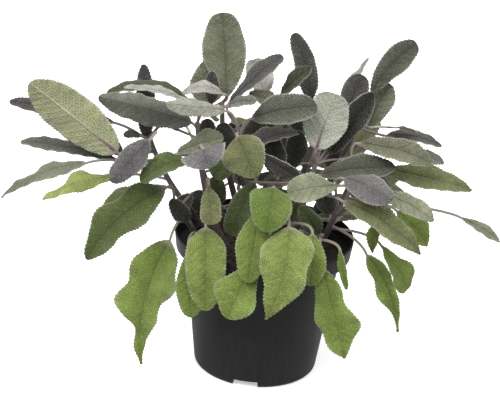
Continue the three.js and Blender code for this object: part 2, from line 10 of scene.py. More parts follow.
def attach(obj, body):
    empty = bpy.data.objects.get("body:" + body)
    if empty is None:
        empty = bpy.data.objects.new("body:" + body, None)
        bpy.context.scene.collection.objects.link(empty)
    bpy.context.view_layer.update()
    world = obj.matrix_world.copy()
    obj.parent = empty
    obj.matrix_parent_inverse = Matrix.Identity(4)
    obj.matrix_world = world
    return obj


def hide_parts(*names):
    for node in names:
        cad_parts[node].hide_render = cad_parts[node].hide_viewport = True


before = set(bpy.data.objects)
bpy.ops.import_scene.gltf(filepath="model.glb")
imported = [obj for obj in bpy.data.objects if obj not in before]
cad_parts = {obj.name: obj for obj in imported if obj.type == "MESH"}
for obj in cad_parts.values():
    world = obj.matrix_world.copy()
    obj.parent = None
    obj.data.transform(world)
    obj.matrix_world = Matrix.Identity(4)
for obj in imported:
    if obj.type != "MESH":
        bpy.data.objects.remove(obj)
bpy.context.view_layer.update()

# Potted sage in a 12 cm nursery pot. The front faces -Y. The dictionaries give lengths in millimetres
# and turns in degrees, and every mesh is made in metres.
mm = 0.001
scene = bpy.context.scene


# A linear colour from an sRGB hex value.
def linear(hexColor):
    channels = [int(hexColor[i:i + 2], 16) / 255 for i in (1, 3, 5)]
    return [c / 12.92 if c <= 0.04045 else ((c + 0.055) / 1.055) ** 2.4 for c in channels] + [1]


# Adds a node: settings are its own options, and inputs are values, sockets, or nodes whose first output
# is linked.
def addNode(tree, kind, inputs=(), **settings):
    node = tree.nodes.new("ShaderNode" + kind)
    for name, value in settings.items():
        setattr(node, name, value)
    for name, value in dict(inputs).items():
        if isinstance(value, bpy.types.Node):
            value = value.outputs[0]
        if isinstance(value, bpy.types.NodeSocket):
            tree.links.new(value, node.inputs[name])
        else:
            node.inputs[name].default_value = value
    return node


# A new material, and addNode for its own nodes.
def newMaterial(name):
    material = bpy.data.materials.new(name)
    material.use_nodes = True
    material.node_tree.nodes.clear()
    return material, partial(addNode, material.node_tree)


def addPiece(name, bm, material, node):
    mesh = bpy.data.meshes.new(name)
    bm.to_mesh(mesh)
    bm.free()
    mesh.shade_smooth()
    mesh.materials.append(material)
    piece = bpy.data.objects.new(name, mesh)
    scene.collection.objects.link(piece)
    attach(piece, "root")
    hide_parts(node)


# A camera on a long lens, a little above the plant and turned a few degrees about its own axis.
camera = {
    "lens": 120.9, "sensor": 36, "distance": 1113, "height": 22.36, "roll": 4.24,
    "target": (-11.24, -0.54, 118.69), "farthest": 20000,
}


def makeCamera():
    data = bpy.data.cameras.new("camera")
    data.lens = camera["lens"]
    data.sensor_width = camera["sensor"]
    data.clip_end = camera["farthest"] * mm
    view = bpy.data.objects.new("camera", data)
    scene.collection.objects.link(view)
    tilt = Matrix.Rotation(math.radians(90 - camera["height"]), 4, "X")
    roll = Matrix.Rotation(math.radians(camera["roll"]), 4, "Z")
    back = tilt @ Vector((0, 0, camera["distance"] * mm))
    view.matrix_world = Matrix.Translation(Vector(camera["target"]) * mm + back) @ tilt @ roll
    scene.camera = view


# A plain white table under soft light: a dim room, a wide ceiling of light, a softbox high up at the left
# and a weaker one low at the right. Each lamp is a direction to it, how wide it looks and its strength.
studio = {
    "floor": 12000, "floorColor": "#f6f6f6", "floorRoughness": 0.9, "floorGlow": 0.5, "room": 0.36,
    "lamps": {
        "ceiling": ((0.0, -0.15, 1), 110, 2.8),
        "softboxLeft": ((-0.45, -0.7, 1), 30, 2.1),
        "softboxRight": ((0.9, -0.5, 0.35), 30, 0.65),
    },
}


def makeStudio():
    bm = bmesh.new()
    bmesh.ops.create_grid(bm, x_segments=2, y_segments=2, size=studio["floor"] * mm / 2)
    mesh = bpy.data.meshes.new("floor")
    bm.to_mesh(mesh)
    bm.free()
    floor = bpy.data.objects.new("floor", mesh)
    scene.collection.objects.link(floor)
    # The table lights the plant no more than the dim room does, so leaves stay dark below.
    floor.visible_diffuse = False
    material, add = newMaterial("whiteTable")
    color = linear(studio["floorColor"])
    shader = add("BsdfPrincipled", {
        "Base Color": color, "Roughness": studio["floorRoughness"],
        "Emission Color": color, "Emission Strength": studio["floorGlow"]})
    add("OutputMaterial", {"Surface": shader})
    mesh.materials.append(material)
    world = bpy.data.worlds.new("dimRoom")
    world.use_nodes = True
    background = world.node_tree.nodes["Background"].inputs
    background["Color"].default_value = (1, 1, 1, 1)
    background["Strength"].default_value = studio["room"]
    scene.world = world
    for name, (towards, width, strength) in studio["lamps"].items():
        data = bpy.data.lights.new(name, "SUN")
        data.angle = math.radians(width)
        data.energy = strength
        lamp = bpy.data.objects.new(name, data)
        lamp.rotation_euler = Vector(towards).to_track_quat("Z", "Y").to_euler()
        scene.collection.objects.link(lamp)
    scene.view_settings.view_transform = "Standard"


# The pot, as part of the frame: its outside sizes, its walls and its drainage slots. The columns are how
# finely a slot and the wall between two slots are divided.
pot = {
    "rimRadius": 60, "height": 96.25, "footRadius": 41.9, "bodyTopRadius": 52.2,
    "collarHeight": 11.8, "collarFootRadius": 58.6, "heelRadius": 4, "wall": 1.2, "floor": 1.4,
    "rimRound": 0.5, "lipRound": 0.7, "sharpEdge": 35, "weld": 0.001,
    "slots": 3, "slotWidth": 17, "slotHeight": 5, "slotReach": 10, "firstSlot": -98,
    "slotColumns": 8, "wallColumns": 46,
}


def potSizes(*names):
    return [pot[name] for name in names]


# Points of a line or of an arc about a middle, each with its radius and height.
def lineOf(start, end, steps):
    return [(start[0] + (end[0] - start[0]) * k / steps, start[1] + (end[1] - start[1]) * k / steps)
            for k in range(steps)]


def arcOf(middle, radius, start, end, steps):
    turns = [math.radians(start + (end - start) * k / steps) for k in range(steps + 1)]
    return [(middle[0] + radius * math.cos(a), middle[1] + radius * math.sin(a)) for a in turns]


# The pot's section from the middle of its underside, round the rim, to the middle of its floor.
# The third value is how high a slot lifts that point, and the fourth is half the slot's width there.
# The last number of a line or an arc is how many steps it has.
def potSection():
    rim, skirt, body, foot = potSizes("rimRadius", "collarFootRadius", "bodyTopRadius", "footRadius")
    wall, floor, heel, lip, edge = potSizes("wall", "floor", "heelRadius", "lipRound", "rimRound")
    half = pot["slotWidth"] / 2
    end = foot - pot["slotReach"]
    inner = end - wall
    top = pot["height"]
    step = top - pot["collarHeight"]
    under = lineOf((0, 0), (end, 0), 4) + [(end, 0)]
    outside = lineOf((end, 0), (foot - heel, 0), 3)
    outside += arcOf((foot - heel, heel), heel, -90, 0, 8)
    outside += lineOf((foot, heel), (body, step), 20)[1:]
    outside += lineOf((body, step), (skirt - lip, step), 2)
    outside += arcOf((skirt - lip, step + lip), lip, -90, 0, 4)
    outside += lineOf((skirt, step + lip), (rim, top - edge), 4)[1:]
    outside += arcOf((rim - edge, top - edge), edge, 0, 90, 4)
    inside = [(rim - wall, top)]
    inside += lineOf((rim - wall, top - edge), (skirt - wall, step + wall), 3)
    inside += lineOf((skirt - wall, step + wall), (body - wall, step + wall), 2)
    inside += lineOf((body - wall, step + wall), (foot - wall, heel), 8)
    inside += lineOf((foot - wall, heel), (foot - heel, floor), 2)
    inside += lineOf((foot - heel, floor), (inner, floor), 2) + [(inner, floor)]
    bottom = lineOf((inner, floor), (0, floor), 4) + [(0, floor)]
    section = [(r, z, 0, half) for r, z in under]
    section += [(r, z, pot["slotHeight"], half) for r, z in outside]
    section += [(r, z, pot["slotHeight"] + wall, half + wall) for r, z in inside]
    return section + [(r, z, 0, half + wall) for r, z in bottom]


# Each column: the slot it belongs to, its place from one side of the slot (-1) to the other (1) and on
# to the next slot (3), and whether it is lifted.
def potColumns():
    columns = []
    for slot in range(pot["slots"]):
        across = [-1 + 2 * k / pot["slotColumns"] for k in range(pot["slotColumns"] + 1)]
        between = [1 + 2 * k / pot["wallColumns"] for k in range(pot["wallColumns"] + 1)]
        columns += [(slot, s, True) for s in across]
        columns += [(slot, s, False) for s in between]
    return columns + [columns[0]]


# A flat grid wrapped round the axis, with a column for each place round the pot and a row for each point
# of its section.
def makePot(material):
    section = potSection()
    columns = potColumns()
    sector = math.radians(360 / pot["slots"])
    inner = pot["footRadius"] - pot["slotReach"] - pot["wall"]
    bm = bmesh.new()
    bmesh.ops.create_grid(bm, x_segments=len(columns) - 1, y_segments=len(section) - 1, size=0.5)
    for vert in bm.verts:
        slot, s, lifted = columns[round((vert.co.x + 0.5) * (len(columns) - 1))]
        r, z, lift, half = section[round((vert.co.y + 0.5) * (len(section) - 1))]
        halfTurn = math.asin(half / max(r, inner))
        turn = s * halfTurn if s <= 1 else halfTurn + (s - 1) / 2 * (sector - 2 * halfTurn)
        if lifted and abs(s) < 1:
            turn = math.asin(s * half / max(r, inner))
        angle = math.radians(pot["firstSlot"]) + slot * sector + turn
        z = max(z, lift) if lifted else z
        vert.co = Vector((r * math.cos(angle), r * math.sin(angle), z)) * mm
    bmesh.ops.remove_doubles(bm, verts=bm.verts, dist=pot["weld"] * mm)
    bmesh.ops.recalc_face_normals(bm, faces=bm.faces)
    for edge in bm.edges:
        edge.smooth = len(edge.link_faces) < 2 or edge.calc_face_angle() < math.radians(pot["sharpEdge"])
    addPiece("nurseryPot", bm, material, "pot")


# Compost: a low crown of bark and fibre crumbs, with a plain hole for each stem. Its lumps come in three
# sizes, each with how much finer and how high it is.
soil = {
    "top": 84, "crown": 3, "radius": 50.4, "bottomRadius": 40.6, "bottom": 6.55,
    "steps": 150, "holeRadius": 2.9, "holeDepth": 18.35,
    "lump": 0.9, "lumpScale": 4.5, "lumps": ((1, 1), (2.7, 0.5), (6.1, 0.3)), "lumpMiddle": 0.5,
    "levelPower": 8, "crumbs": 420, "crumbSize": (0.6, 2.1), "crumbDepth": (0.5, 0.9),
    "crumbHeight": (0.4, 0.7), "crumbTurn": 6.28, "crumbTilt": 1.5, "crumbLift": 0.2, "crumbsFromEdge": 3,
    "seed": 51,
}


# The height of the soil's surface, from its crown and its lumps, which fade at its edge.
def soilHeight(x, y):
    share = min(1, math.hypot(x, y) / soil["radius"])
    place = Vector((x, y, 0)) / soil["lumpScale"]
    rough = sum(high * noise.noise(place * fine) for fine, high in soil["lumps"]) - soil["lumpMiddle"]
    crown = soil["crown"] * (1 - share * share)
    return soil["top"] + crown + soil["lump"] * rough * (1 - share ** soil["levelPower"])


def inHole(x, y, feet, margin=0):
    return any(math.hypot(x - u, y - v) < soil["holeRadius"] + margin for u, v in feet)


# A square grid drawn in to a disc, whose edge is then pulled down to the pot's floor, and crumbs on it.
def makeSoil(material, feet):
    bm = bmesh.new()
    bmesh.ops.create_grid(bm, x_segments=soil["steps"], y_segments=soil["steps"], size=1)
    for vert in bm.verts:
        a, b = vert.co.x, vert.co.y
        x = a * math.sqrt(1 - b * b / 2) * soil["radius"]
        y = b * math.sqrt(1 - a * a / 2) * soil["radius"]
        z = soil["top"] - soil["holeDepth"] if inHole(x, y, feet) else soilHeight(x, y)
        vert.co = Vector((x, y, z)) * mm
    rim = [edge for edge in bm.edges if edge.is_boundary]
    grown = bmesh.ops.extrude_edge_only(bm, edges=rim)["geom"]
    share = soil["bottomRadius"] / soil["radius"]
    for vert in [part for part in grown if isinstance(part, bmesh.types.BMVert)]:
        vert.co = Vector((vert.co.x * share, vert.co.y * share, soil["bottom"] * mm))
    bmesh.ops.edgeloop_fill(bm, edges=[edge for edge in bm.edges if edge.is_boundary])
    bmesh.ops.recalc_face_normals(bm, faces=bm.faces)
    draw = np.random.default_rng(soil["seed"])
    for number in range(soil["crumbs"]):
        size = draw.uniform(*soil["crumbSize"])
        r = (soil["radius"] - soil["crumbsFromEdge"]) * math.sqrt(draw.uniform())
        angle = draw.uniform(0, 2 * math.pi)
        x, y = r * math.cos(angle), r * math.sin(angle)
        turn = Matrix.Rotation(draw.uniform(0, soil["crumbTurn"]), 4, "Z")
        turn = turn @ Matrix.Rotation(draw.uniform(0, soil["crumbTilt"]), 4, "X")
        depth = draw.uniform(*soil["crumbDepth"])
        stretch = Matrix.Diagonal((1, depth, draw.uniform(*soil["crumbHeight"]), 1))
        if inHole(x, y, feet, size):
            continue
        place = Matrix.Translation(Vector((x, y, soilHeight(x, y) + soil["crumbLift"] * size)) * mm)
        bmesh.ops.create_icosphere(bm, subdivisions=1, radius=size * mm, matrix=place @ turn @ stretch)
    addPiece("compost", bm, material, "soil")


# Leaf tints: most as the leaves look in even light, but the darkest are partly painted shade for leaves deep
# inside the plant, and the palest green is painted light for a leaf that hangs in shade.
tints = {
    "deepShade": "#161613", "dark": "#3d3e36", "dusk": "#585a4c", "plum": "#5c5759", "mauve": "#7b767a",
    "slate": "#828378", "silver": "#cfcdc4", "pale": "#c7c9b7", "oliveUnder": "#8a915c",
    "paleUnder": "#9ba295", "sage": "#92967a", "hoary": "#a5a989", "olive": "#84856a", "deep": "#454d32",
    "shade": "#62713e", "fern": "#5d6c31", "moss": "#828855", "fresh": "#708831", "green": "#94ab4e",
    "bright": "#99ab55", "litLime": "#dce98a",
}
hiddenTints = ["olive", "slate", "moss", "plum", "olive", "moss"]

# A leaf's row: the share of the stem's length where it grows, the two ends of its blade, its width and
# its tint. Then come what differs from a plain leaf: the turn of its face, the arch of its midrib, its
# sideways curve, the fold of its halves (below zero they hang like a roof), the height of its waves, the
# share of its length where it is widest, how far its neck and its point are drawn out, the tint of its
# underside and how far up that the midrib is purple.
plainLeaf = {
    "turn": 0, "arch": 2, "sweep": 0, "fold": 8, "wave": 0.8, "widest": 0.5, "neck": 0.65, "point": 0.42,
    "purple": 0.6,
}


def leafRow(at, base, tip, width, tint, **form):
    return {**plainLeaf, "at": at, "base": base, "tip": tip, "width": width, "tint": tint, **form}


# Each stem: its path from the soil up, how many leaves are tried on its hidden side, and the leaves that
# show.
stems = {
    "left_low": dict(path=[(-42, -6, 84), (-50, -10, 102), (-62, -18, 122)], hidden=1, leaves=[
        leafRow(0.95, (-66, -34, 136), (-112, -60, 94), 27, "fern", turn=15, arch=5, sweep=4, fold=10,
                wave=1.2, widest=0.4, point=0.55),
        leafRow(0.7, (-61, -36, 101), (-74, -60, 22), 34, "green", arch=6, sweep=7, fold=22, wave=2,
                widest=0.33, point=1.5),
        leafRow(0.3, (-48, -46, 98), (-43, -50, 55), 18, "green", widest=0.6),
        leafRow(0.85, (-50, 2, 119), (-60, 14, 100), 12, "dark"),
        leafRow(0.4, (-50, -8, 104), (-63, -4, 116), 12, "dark"),
    ]),
    "left": dict(path=[(-34, 8, 84), (-62, 10, 118), (-80, 4, 156)], hidden=2, leaves=[
        leafRow(0.9, (-99, -20, 153), (-154, -35, 201), 30, "olive", under="oliveUnder", turn=172, arch=3,
                fold=6, wave=0.2, widest=0.52, neck=0.45, point=0.5),
        leafRow(0.95, (-104, 10, 162), (-172, 0, 175), 14, "plum", turn=30, arch=3, fold=10, wave=0.4),
        leafRow(0.88, (-96, -2, 145), (-146, -12, 172), 26, "dark", turn=50),
        leafRow(0.8, (-100, -6, 142), (-166, -2, 149), 14, "slate", turn=48, arch=3, point=0.36),
        leafRow(0.75, (-118, -25, 146), (-170, -40, 124), 16, "sage", turn=52, arch=6, fold=-8, wave=1.6,
                widest=0.3, point=1),
        leafRow(0.6, (-100, 6, 126), (-149, 0, 108), 15, "litLime", turn=44, arch=5, fold=-6, wave=2.5,
                widest=0.4, point=0.6),
        leafRow(1, (-77, -38, 170), (-99, -52, 145), 18, "mauve", arch=3, fold=-14),
        leafRow(0.85, (-83, 20, 146), (-88, 28, 198), 14, "plum", turn=20, arch=0, fold=10, wave=0.3,
                widest=0.5),
        leafRow(0.5, (-84, -12, 125), (-106, -20, 113), 14, "moss", turn=20, fold=6),
        leafRow(0.97, (-86, -6, 160), (-96, -12, 162), 8, "dark", turn=40, fold=-10, wave=0.4),
    ]),
    "left_middle": dict(path=[(-24, -12, 84), (-40, -10, 124), (-49, -4, 172)], hidden=3, leaves=[
        leafRow(0.95, (-53, -6, 172), (-113, -20, 190), 26, "slate", turn=4, arch=8, fold=-42, wave=1,
                widest=0.45),
        leafRow(1, (-54, 10, 180), (-110, 2, 185), 18, "deep", turn=60, arch=9, wave=0.5),
        leafRow(1, (-50, -14, 187), (-96, -24, 199), 9, "silver", turn=58, arch=3, wave=0.5),
        leafRow(0.9, (-60, 4, 162), (-101, 2, 176), 13, "dark", turn=64, fold=6, wave=0.3),
        leafRow(0.75, (-43, -44, 168), (-38, -57, 161), 31, "mauve", fold=6, widest=0.3, neck=0.4,
                point=0.5),
        leafRow(0.8, (-60, -32, 160), (-31, -34, 174), 15, "sage", turn=-35, arch=0, sweep=-2, wave=2,
                widest=0.6),
        leafRow(0.7, (-53, -26, 153), (-81, -36, 140), 18, "fern", turn=40, arch=5, wave=1),
        leafRow(0.5, (-38, -44, 145), (-34, -64, 126), 15, "moss", fold=14, wave=1.4, widest=0.76, neck=1.3,
                point=0.34),
        leafRow(0.35, (-38, -50, 118), (-34, -70, 69), 27, "bright", arch=4, widest=0.33, point=0.45),
        leafRow(0.4, (-41, 4, 104), (-48, 8, 119), 14, "dark"),
    ]),
    "left_back": dict(path=[(-12, 18, 84), (-28, 16, 135), (-34, 10, 182)], hidden=6, leaves=[
        leafRow(1, (-30, -6, 186), (3, 2, 219), 15, "plum", turn=-40, fold=10, widest=0.68, neck=0.9,
                point=0.36),
        leafRow(1, (-34, -1, 191), (-60, -4, 191), 13, "silver", turn=48, arch=6, fold=-6),
        leafRow(1, (-31, 14, 184), (-38, 22, 239), 29, "sage", arch=-3, fold=7, wave=1.2, widest=0.54,
                neck=0.8, point=0.33),
        leafRow(0.92, (-45, 26, 173), (-46, 34, 204), 24, "sage", turn=10, arch=0, widest=0.38, point=0.7),
        leafRow(0.5, (-22, 28, 130), (-28, 32, 160), 15, "dark", arch=0, wave=0.4),
        leafRow(0.6, (-28, 8, 143), (-33, 12, 167), 16, "dark", arch=0),
        leafRow(0.55, (-17, 14, 148), (-7, 18, 170), 17, "dark", arch=0),
        leafRow(0.7, (-43, 12, 147), (-43, 15, 168), 14, "dark", arch=0),
        leafRow(0.2, (-30, 6, 111), (-36, 9, 130), 13, "shade"),
        leafRow(0.6, (-20, 22, 145), (-15, 25, 164), 16, "deepShade", arch=0),
        leafRow(1, (-41, 9, 180), (-42, 9, 203), 10, "plum", arch=0),
    ]),
    "middle": dict(path=[(-2, -14, 84), (-14, -14, 128), (-22, -14, 174)], hidden=3, leaves=[
        leafRow(0.95, (-22, -26, 172), (-8, -43, 152), 29, "moss", turn=14, arch=3, wave=1, widest=0.42,
                point=0.55),
        leafRow(0.8, (-22, -22, 160), (-36, -30, 145), 18, "shade", turn=10),
        leafRow(0.98, (-31, -18, 186), (-68, -34, 193), 14, "pale", turn=20, fold=-28, wave=1.2, widest=0.55),
        leafRow(1, (-29, -15, 188), (-12, -23, 195), 12, "slate", turn=-45, arch=3),
        leafRow(0.9, (-14, -18, 182), (27, -14, 192), 23, "dusk", turn=-22, arch=4, widest=0.55),
        leafRow(0.5, (-9, -26, 142), (-23, -34, 107), 18, "shade", widest=0.55),
        leafRow(0.6, (22, -8, 140), (-6, -16, 157), 11, "plum", turn=-30),
        leafRow(0.5, (-19, 0, 129), (-9, 3, 140), 14, "dark"),
    ]),
    "back": dict(path=[(8, 26, 84), (8, 26, 139), (10, 20, 184)], hidden=8, leaves=[
        leafRow(1, (-7, 14, 188), (-16, 20, 211), 21, "silver", turn=10, fold=34, wave=1.2),
        leafRow(0.95, (4, 0, 182), (-17, -4, 194), 13, "olive", turn=40, arch=3, fold=6),
        leafRow(1, (23, 16, 184), (9, 24, 228), 15, "plum", turn=-10, arch=0, sweep=3, wave=0.4, widest=0.45,
                point=0.35),
        leafRow(1, (4, 6, 192), (22, 0, 213), 13, "deep", turn=-40, fold=12, wave=0.5),
        leafRow(0.6, (2, 22, 136), (-5, 28, 168), 16, "deepShade", arch=0, wave=0.5),
        leafRow(0.8, (20, 26, 154), (12, 30, 172), 15, "dark", arch=0, wave=0.5),
        leafRow(0.4, (4, 6, 135), (0, 10, 162), 17, "dark", arch=0),
        leafRow(0.6, (15, 12, 137), (18, 16, 164), 15, "dark", arch=0),
        leafRow(0.35, (-4, 14, 125), (24, 17, 132), 15, "olive", turn=-30),
    ]),
    "front": dict(path=[(12, -32, 84), (4, -36, 112), (5, -42, 136)], hidden=1, leaves=[
        leafRow(0.85, (14, -67, 130), (4, -90, 76), 34, "bright", arch=6, sweep=-4, wave=1.5, widest=0.31,
                point=1),
        leafRow(1, (3, -44, 146), (0, -74, 128), 27, "fresh", arch=5, fold=6, widest=0.45),
        leafRow(0.9, (-5, -53, 132), (-9, -79, 95), 22, "green", arch=4, fold=12, point=0.45),
        leafRow(0.5, (-5, -62, 103), (-20, -76, 68), 25, "green", turn=10, arch=4, wave=2.4, widest=0.7,
                point=0.55),
        leafRow(0.6, (30, -50, 119), (31, -64, 89), 18, "green", arch=3, widest=0.55),
    ]),
    "right_middle": dict(path=[(20, -2, 84), (24, -6, 122), (30, -6, 150)], hidden=5, leaves=[
        leafRow(1, (29, -12, 162), (38, -6, 199), 29, "plum", under="paleUnder", purple=1.3, turn=178, fold=6,
                widest=0.56, neck=0.5, point=0.34),
        leafRow(0.95, (37, 0, 154), (63, 8, 197), 18, "deepShade", turn=15, arch=0, fold=16, widest=0.62,
                point=0.5),
        leafRow(0.85, (33, -6, 142), (81, -16, 155), 19, "dusk", turn=-28, arch=4, widest=0.58, point=0.5),
        leafRow(0.55, (48, -36, 137), (99, -56, 113), 19, "moss", turn=-24, arch=9, wave=1, point=0.75),
        leafRow(0.98, (47, 16, 176), (56, 22, 204), 18, "plum", arch=0, fold=6, widest=0.6, point=0.36),
        leafRow(1, (44, 28, 186), (60, 34, 212), 10, "silver", turn=-70, arch=0, wave=0.4),
        leafRow(0.2, (36, -6, 99), (22, -2, 118), 13, "shade"),
        leafRow(0.4, (43, 8, 109), (36, 12, 125), 13, "dark"),
        leafRow(0.25, (17, 8, 101), (22, 11, 122), 14, "shade"),
    ]),
    "right": dict(path=[(38, 4, 84), (46, 0, 112), (55, -4, 142)], hidden=3, leaves=[
        leafRow(0.6, (48, -30, 150), (77, -54, 147), 21, "mauve", turn=-25, arch=5, fold=-16, wave=1,
                widest=0.6, point=0.38),
        leafRow(0.5, (46, -34, 147), (12, -46, 144), 20, "hoary", turn=22, arch=3, wave=1, widest=0.7,
                neck=1.1, point=0.38),
        leafRow(1, (57, 2, 163), (103, -10, 157), 18, "olive", turn=-28, arch=5, fold=10, wave=1,
                widest=0.55),
        leafRow(0.95, (78, 4, 145), (133, -8, 140), 20, "moss", turn=-30, arch=3, wave=1, widest=0.42,
                point=0.7),
        leafRow(0.85, (76, -22, 138), (107, -38, 129), 16, "hoary", turn=-30, arch=3, wave=1, point=0.6),
        leafRow(0.6, (86, -4, 120), (108, -10, 99), 18, "green", turn=-30, arch=3, wave=1.2, widest=0.6,
                point=0.8),
        leafRow(0.75, (130, 2, 116), (156, -6, 104), 9, "sage", turn=-40, wave=0.4, widest=0.6, point=0.7),
        leafRow(0.5, (72, -10, 112), (72, -16, 94), 10, "green", turn=30, arch=1, fold=10, wave=0.4,
                widest=0.35, point=0.9),
        leafRow(0.35, (68, -20, 94), (93, -30, 44), 15, "green", turn=20, arch=-3, sweep=-4, fold=20, wave=2,
                widest=0.35, point=1.1),
        leafRow(0.3, (78, -8, 96), (98, -8, 65), 19, "green", turn=-35, arch=3, wave=2.5, widest=0.72, neck=1,
                point=0.3),
    ]),
    "right_back": dict(path=[(28, 26, 84), (46, 26, 138), (60, 20, 178)], hidden=6, leaves=[
        leafRow(1, (63, 14, 194), (91, 18, 231), 18, "dusk", arch=0, sweep=-3, fold=6, widest=0.65, neck=0.8,
                point=0.34),
        leafRow(0.9, (62, 24, 166), (75, 28, 198), 19, "sage", arch=0, fold=6, wave=0.5, widest=0.6),
        leafRow(0.95, (64, 10, 172), (96, 18, 168), 12, "silver", turn=-90, fold=4, wave=0.4),
        leafRow(0.85, (76, 14, 166), (114, 8, 164), 14, "plum", turn=-50, arch=4, wave=0.5, point=0.6),
        leafRow(0.7, (84, 14, 152), (116, 16, 149), 13, "slate", turn=-40, arch=3, wave=0.5),
        leafRow(0.4, (46, 32, 130), (34, 38, 162), 17, "dark", arch=0, wave=0.5),
    ]),
    "right_front": dict(path=[(28, -22, 84), (32, -29, 101), (37, -34, 112)], hidden=0, leaves=[
        leafRow(0.9, (38, -56, 98), (57, -67, 41), 25, "green", arch=3, wave=2, widest=0.62, neck=0.6,
                point=0.9),
        leafRow(0.8, (49, -36, 103), (55, -43, 79), 6, "green", turn=30, arch=1, wave=0.4),
    ]),
    "back_left_low": dict(path=[(-26, 30, 84), (-42, 44, 112), (-52, 54, 134)], hidden=6, leaves=[]),
    "back_right_low": dict(path=[(16, 42, 84), (24, 56, 116), (30, 66, 140)], hidden=7, leaves=[]),
}

# How stems and leaves grow: the same rules as the part's own solids.
growth = {
    "stemRadiusLow": 2.2, "stemRadiusHigh": 1.4, "rootDepth": 18, "kneeHeight": 1,
    "petioleHalf": 0.9, "petioleThickness": 1.7, "bendShare": 0.35, "bendLimit": 12,
    "bladeThickness": 0.7, "thinBy": 0.25, "foldedBy": 0.2,
    "waveLength": 30, "waveShift": 2, "waveSpread": 0.6,
    "light": (0, -0.92, 0.38),
    "swings": (0, 4, -4, 8, -8, 12, -12, 16, -16, 20, -20, 24, -24, 28, -28),
    "clearance": 3.8, "potClearance": 2.5, "bladeChecks": 12, "checksAcross": (-1, -0.5, 0, 0.5, 1),
    "petioleChecks": 8, "petioleFree": 3, "stemChecks": 24,
    "hiddenSeed": 2311, "hiddenTries": 200, "slenderness": 0.38, "hiddenArch": 7, "hiddenSlant": 0.4,
    "heading": (-5, 185), "pitch": (-30, 60), "length": (42, 62), "petiole": (12, 26), "rise": (0, 10),
    "turn": (-25, 25), "sweep": (-3, 3), "fold": (-12, 14),
    "viewHeight": 120, "viewTilt": 22.4,
    "behind": ((-36, -60, 84, 62), (-112, 48, -30, 66), (-112, -48, -58, -8), (70, -12, 124, 28),
               (-60, -70, 60, -20)),
}


def unit(vectors):
    return vectors / np.linalg.norm(vectors, axis=-1, keepdims=True)


# Random draws between two limits, the same ones every time.
def drawsFrom(seed):
    factor, limit = 16807, 2147483647
    state = [seed]

    def draw(low, high):
        state[0] = (state[0] * factor) % limit
        return low + ((high - low) * state[0]) / limit
    return draw


# A point, or points, of a curve from a start to an end that is drawn towards a third point.
def curved(start, pull, end, t):
    t = np.asarray(t, float)[..., None]
    return (1 - t) ** 2 * start + 2 * t * (1 - t) * pull + t * t * end


# The direction of such a curve.
def curvedAhead(start, pull, end, t):
    t = np.asarray(t, float)[..., None]
    return unit((1 - t) * (pull - start) + t * (end - pull))


# A stem's middle line above the soil: a curve from its knee through its middle point to its top.
def stemLine(path):
    foot, middle, top = (np.array(p, float) for p in path)
    knee = np.array((foot[0], foot[1], soil["top"] + soil["crown"] + growth["kneeHeight"]))
    return knee, 2 * middle - knee / 2 - top / 2, top


# Half the width of a blade at t along it, from 0 to 1.
def halfWidth(leaf, t):
    widest = leaf["widest"]
    low = np.sin(math.pi / 2 * np.minimum(t / widest, 1)) ** leaf["neck"]
    high = np.cos(math.pi / 2 * np.clip((t - widest) / (1 - widest), 0, 1)) ** leaf["point"]
    return np.maximum(growth["petioleHalf"], leaf["width"] / 2 * np.where(t < widest, low, high))


# A leaf from its row: where it grows, which way its face is, and where its petiole bends.
def leafFrom(root, base, tip, form, facing):
    along = tip - base
    ahead = unit(along)
    face = unit(facing - ahead * facing.dot(ahead))
    angle = math.radians(form["turn"])
    face = face * math.cos(angle) + np.cross(ahead, face) * math.sin(angle)
    reach = np.linalg.norm(base - root)
    bend = base - ahead * min(growth["bendShare"] * reach, growth["bendLimit"])
    return {**form, "root": root, "bend": bend, "base": base, "along": along, "face": face,
            "length": np.linalg.norm(along), "side": np.cross(ahead, face)}


# Places and upward directions of a blade at t along it and u across it, from -1 to 1, with its margin
# moved outwards by so much and its fold rounded by so much.
def onBlade(leaf, t, u, outwards=0, rounded=0):
    t, u = np.broadcast_arrays(np.asarray(t, float), np.asarray(u, float))
    far = t[..., None]
    rise, slope = 4 * far * (1 - far), 4 * (1 - 2 * far)
    arch, sweep = leaf["face"] * leaf["arch"], leaf["side"] * leaf["sweep"]
    rib = leaf["base"] + leaf["along"] * far + arch * rise + sweep * rise
    ahead = unit(leaf["along"] + arch * slope + sweep * slope)
    up = unit(leaf["face"] - ahead * (ahead @ leaf["face"])[..., None])
    side = np.cross(ahead, up)
    fold = np.radians(leaf["fold"]) * np.minimum(1, t / growth["foldedBy"])
    shift = np.where(u > 0, growth["waveShift"], 0)
    phase = 2 * math.pi * leaf["length"] * t / growth["waveLength"] + leaf["base"][0] + shift
    wave = leaf["wave"] * np.sin(phase) * u * u * np.sin(math.pi * t)
    across = u * halfWidth(leaf, t) + np.sign(u) * (growth["waveSpread"] * wave + outwards)
    size = np.hypot(across, rounded)
    lift = (size - rounded) * np.sin(fold) + wave
    place = rib + side * (across * np.cos(fold))[..., None] + up * lift[..., None]
    lean = across / np.maximum(size, 1e-9)
    normal = up * np.cos(fold)[..., None] - side * (lean * np.sin(fold))[..., None]
    return place, normal, across


def leafPoints(leaf):
    t = np.arange(1, growth["bladeChecks"] + 1) / growth["bladeChecks"]
    blade = onBlade(leaf, t[:, None], np.array(growth["checksAcross"]))[0].reshape(-1, 3)
    s = np.arange(1, growth["petioleChecks"] + 1) / growth["petioleChecks"]
    return blade, curved(leaf["root"], leaf["bend"], leaf["base"], s)


# The pot's outer radius at a height.
def potRadius(z):
    rim, skirt, body, foot = potSizes("rimRadius", "collarFootRadius", "bodyTopRadius", "footRadius")
    step = pot["height"] - pot["collarHeight"]
    collar = rim + (z - pot["height"]) * (rim - skirt) / pot["collarHeight"]
    taper = (body - foot) / (step - pot["heelRadius"])
    return np.where(z > step, collar, foot + (z - pot["heelRadius"]) * taper)


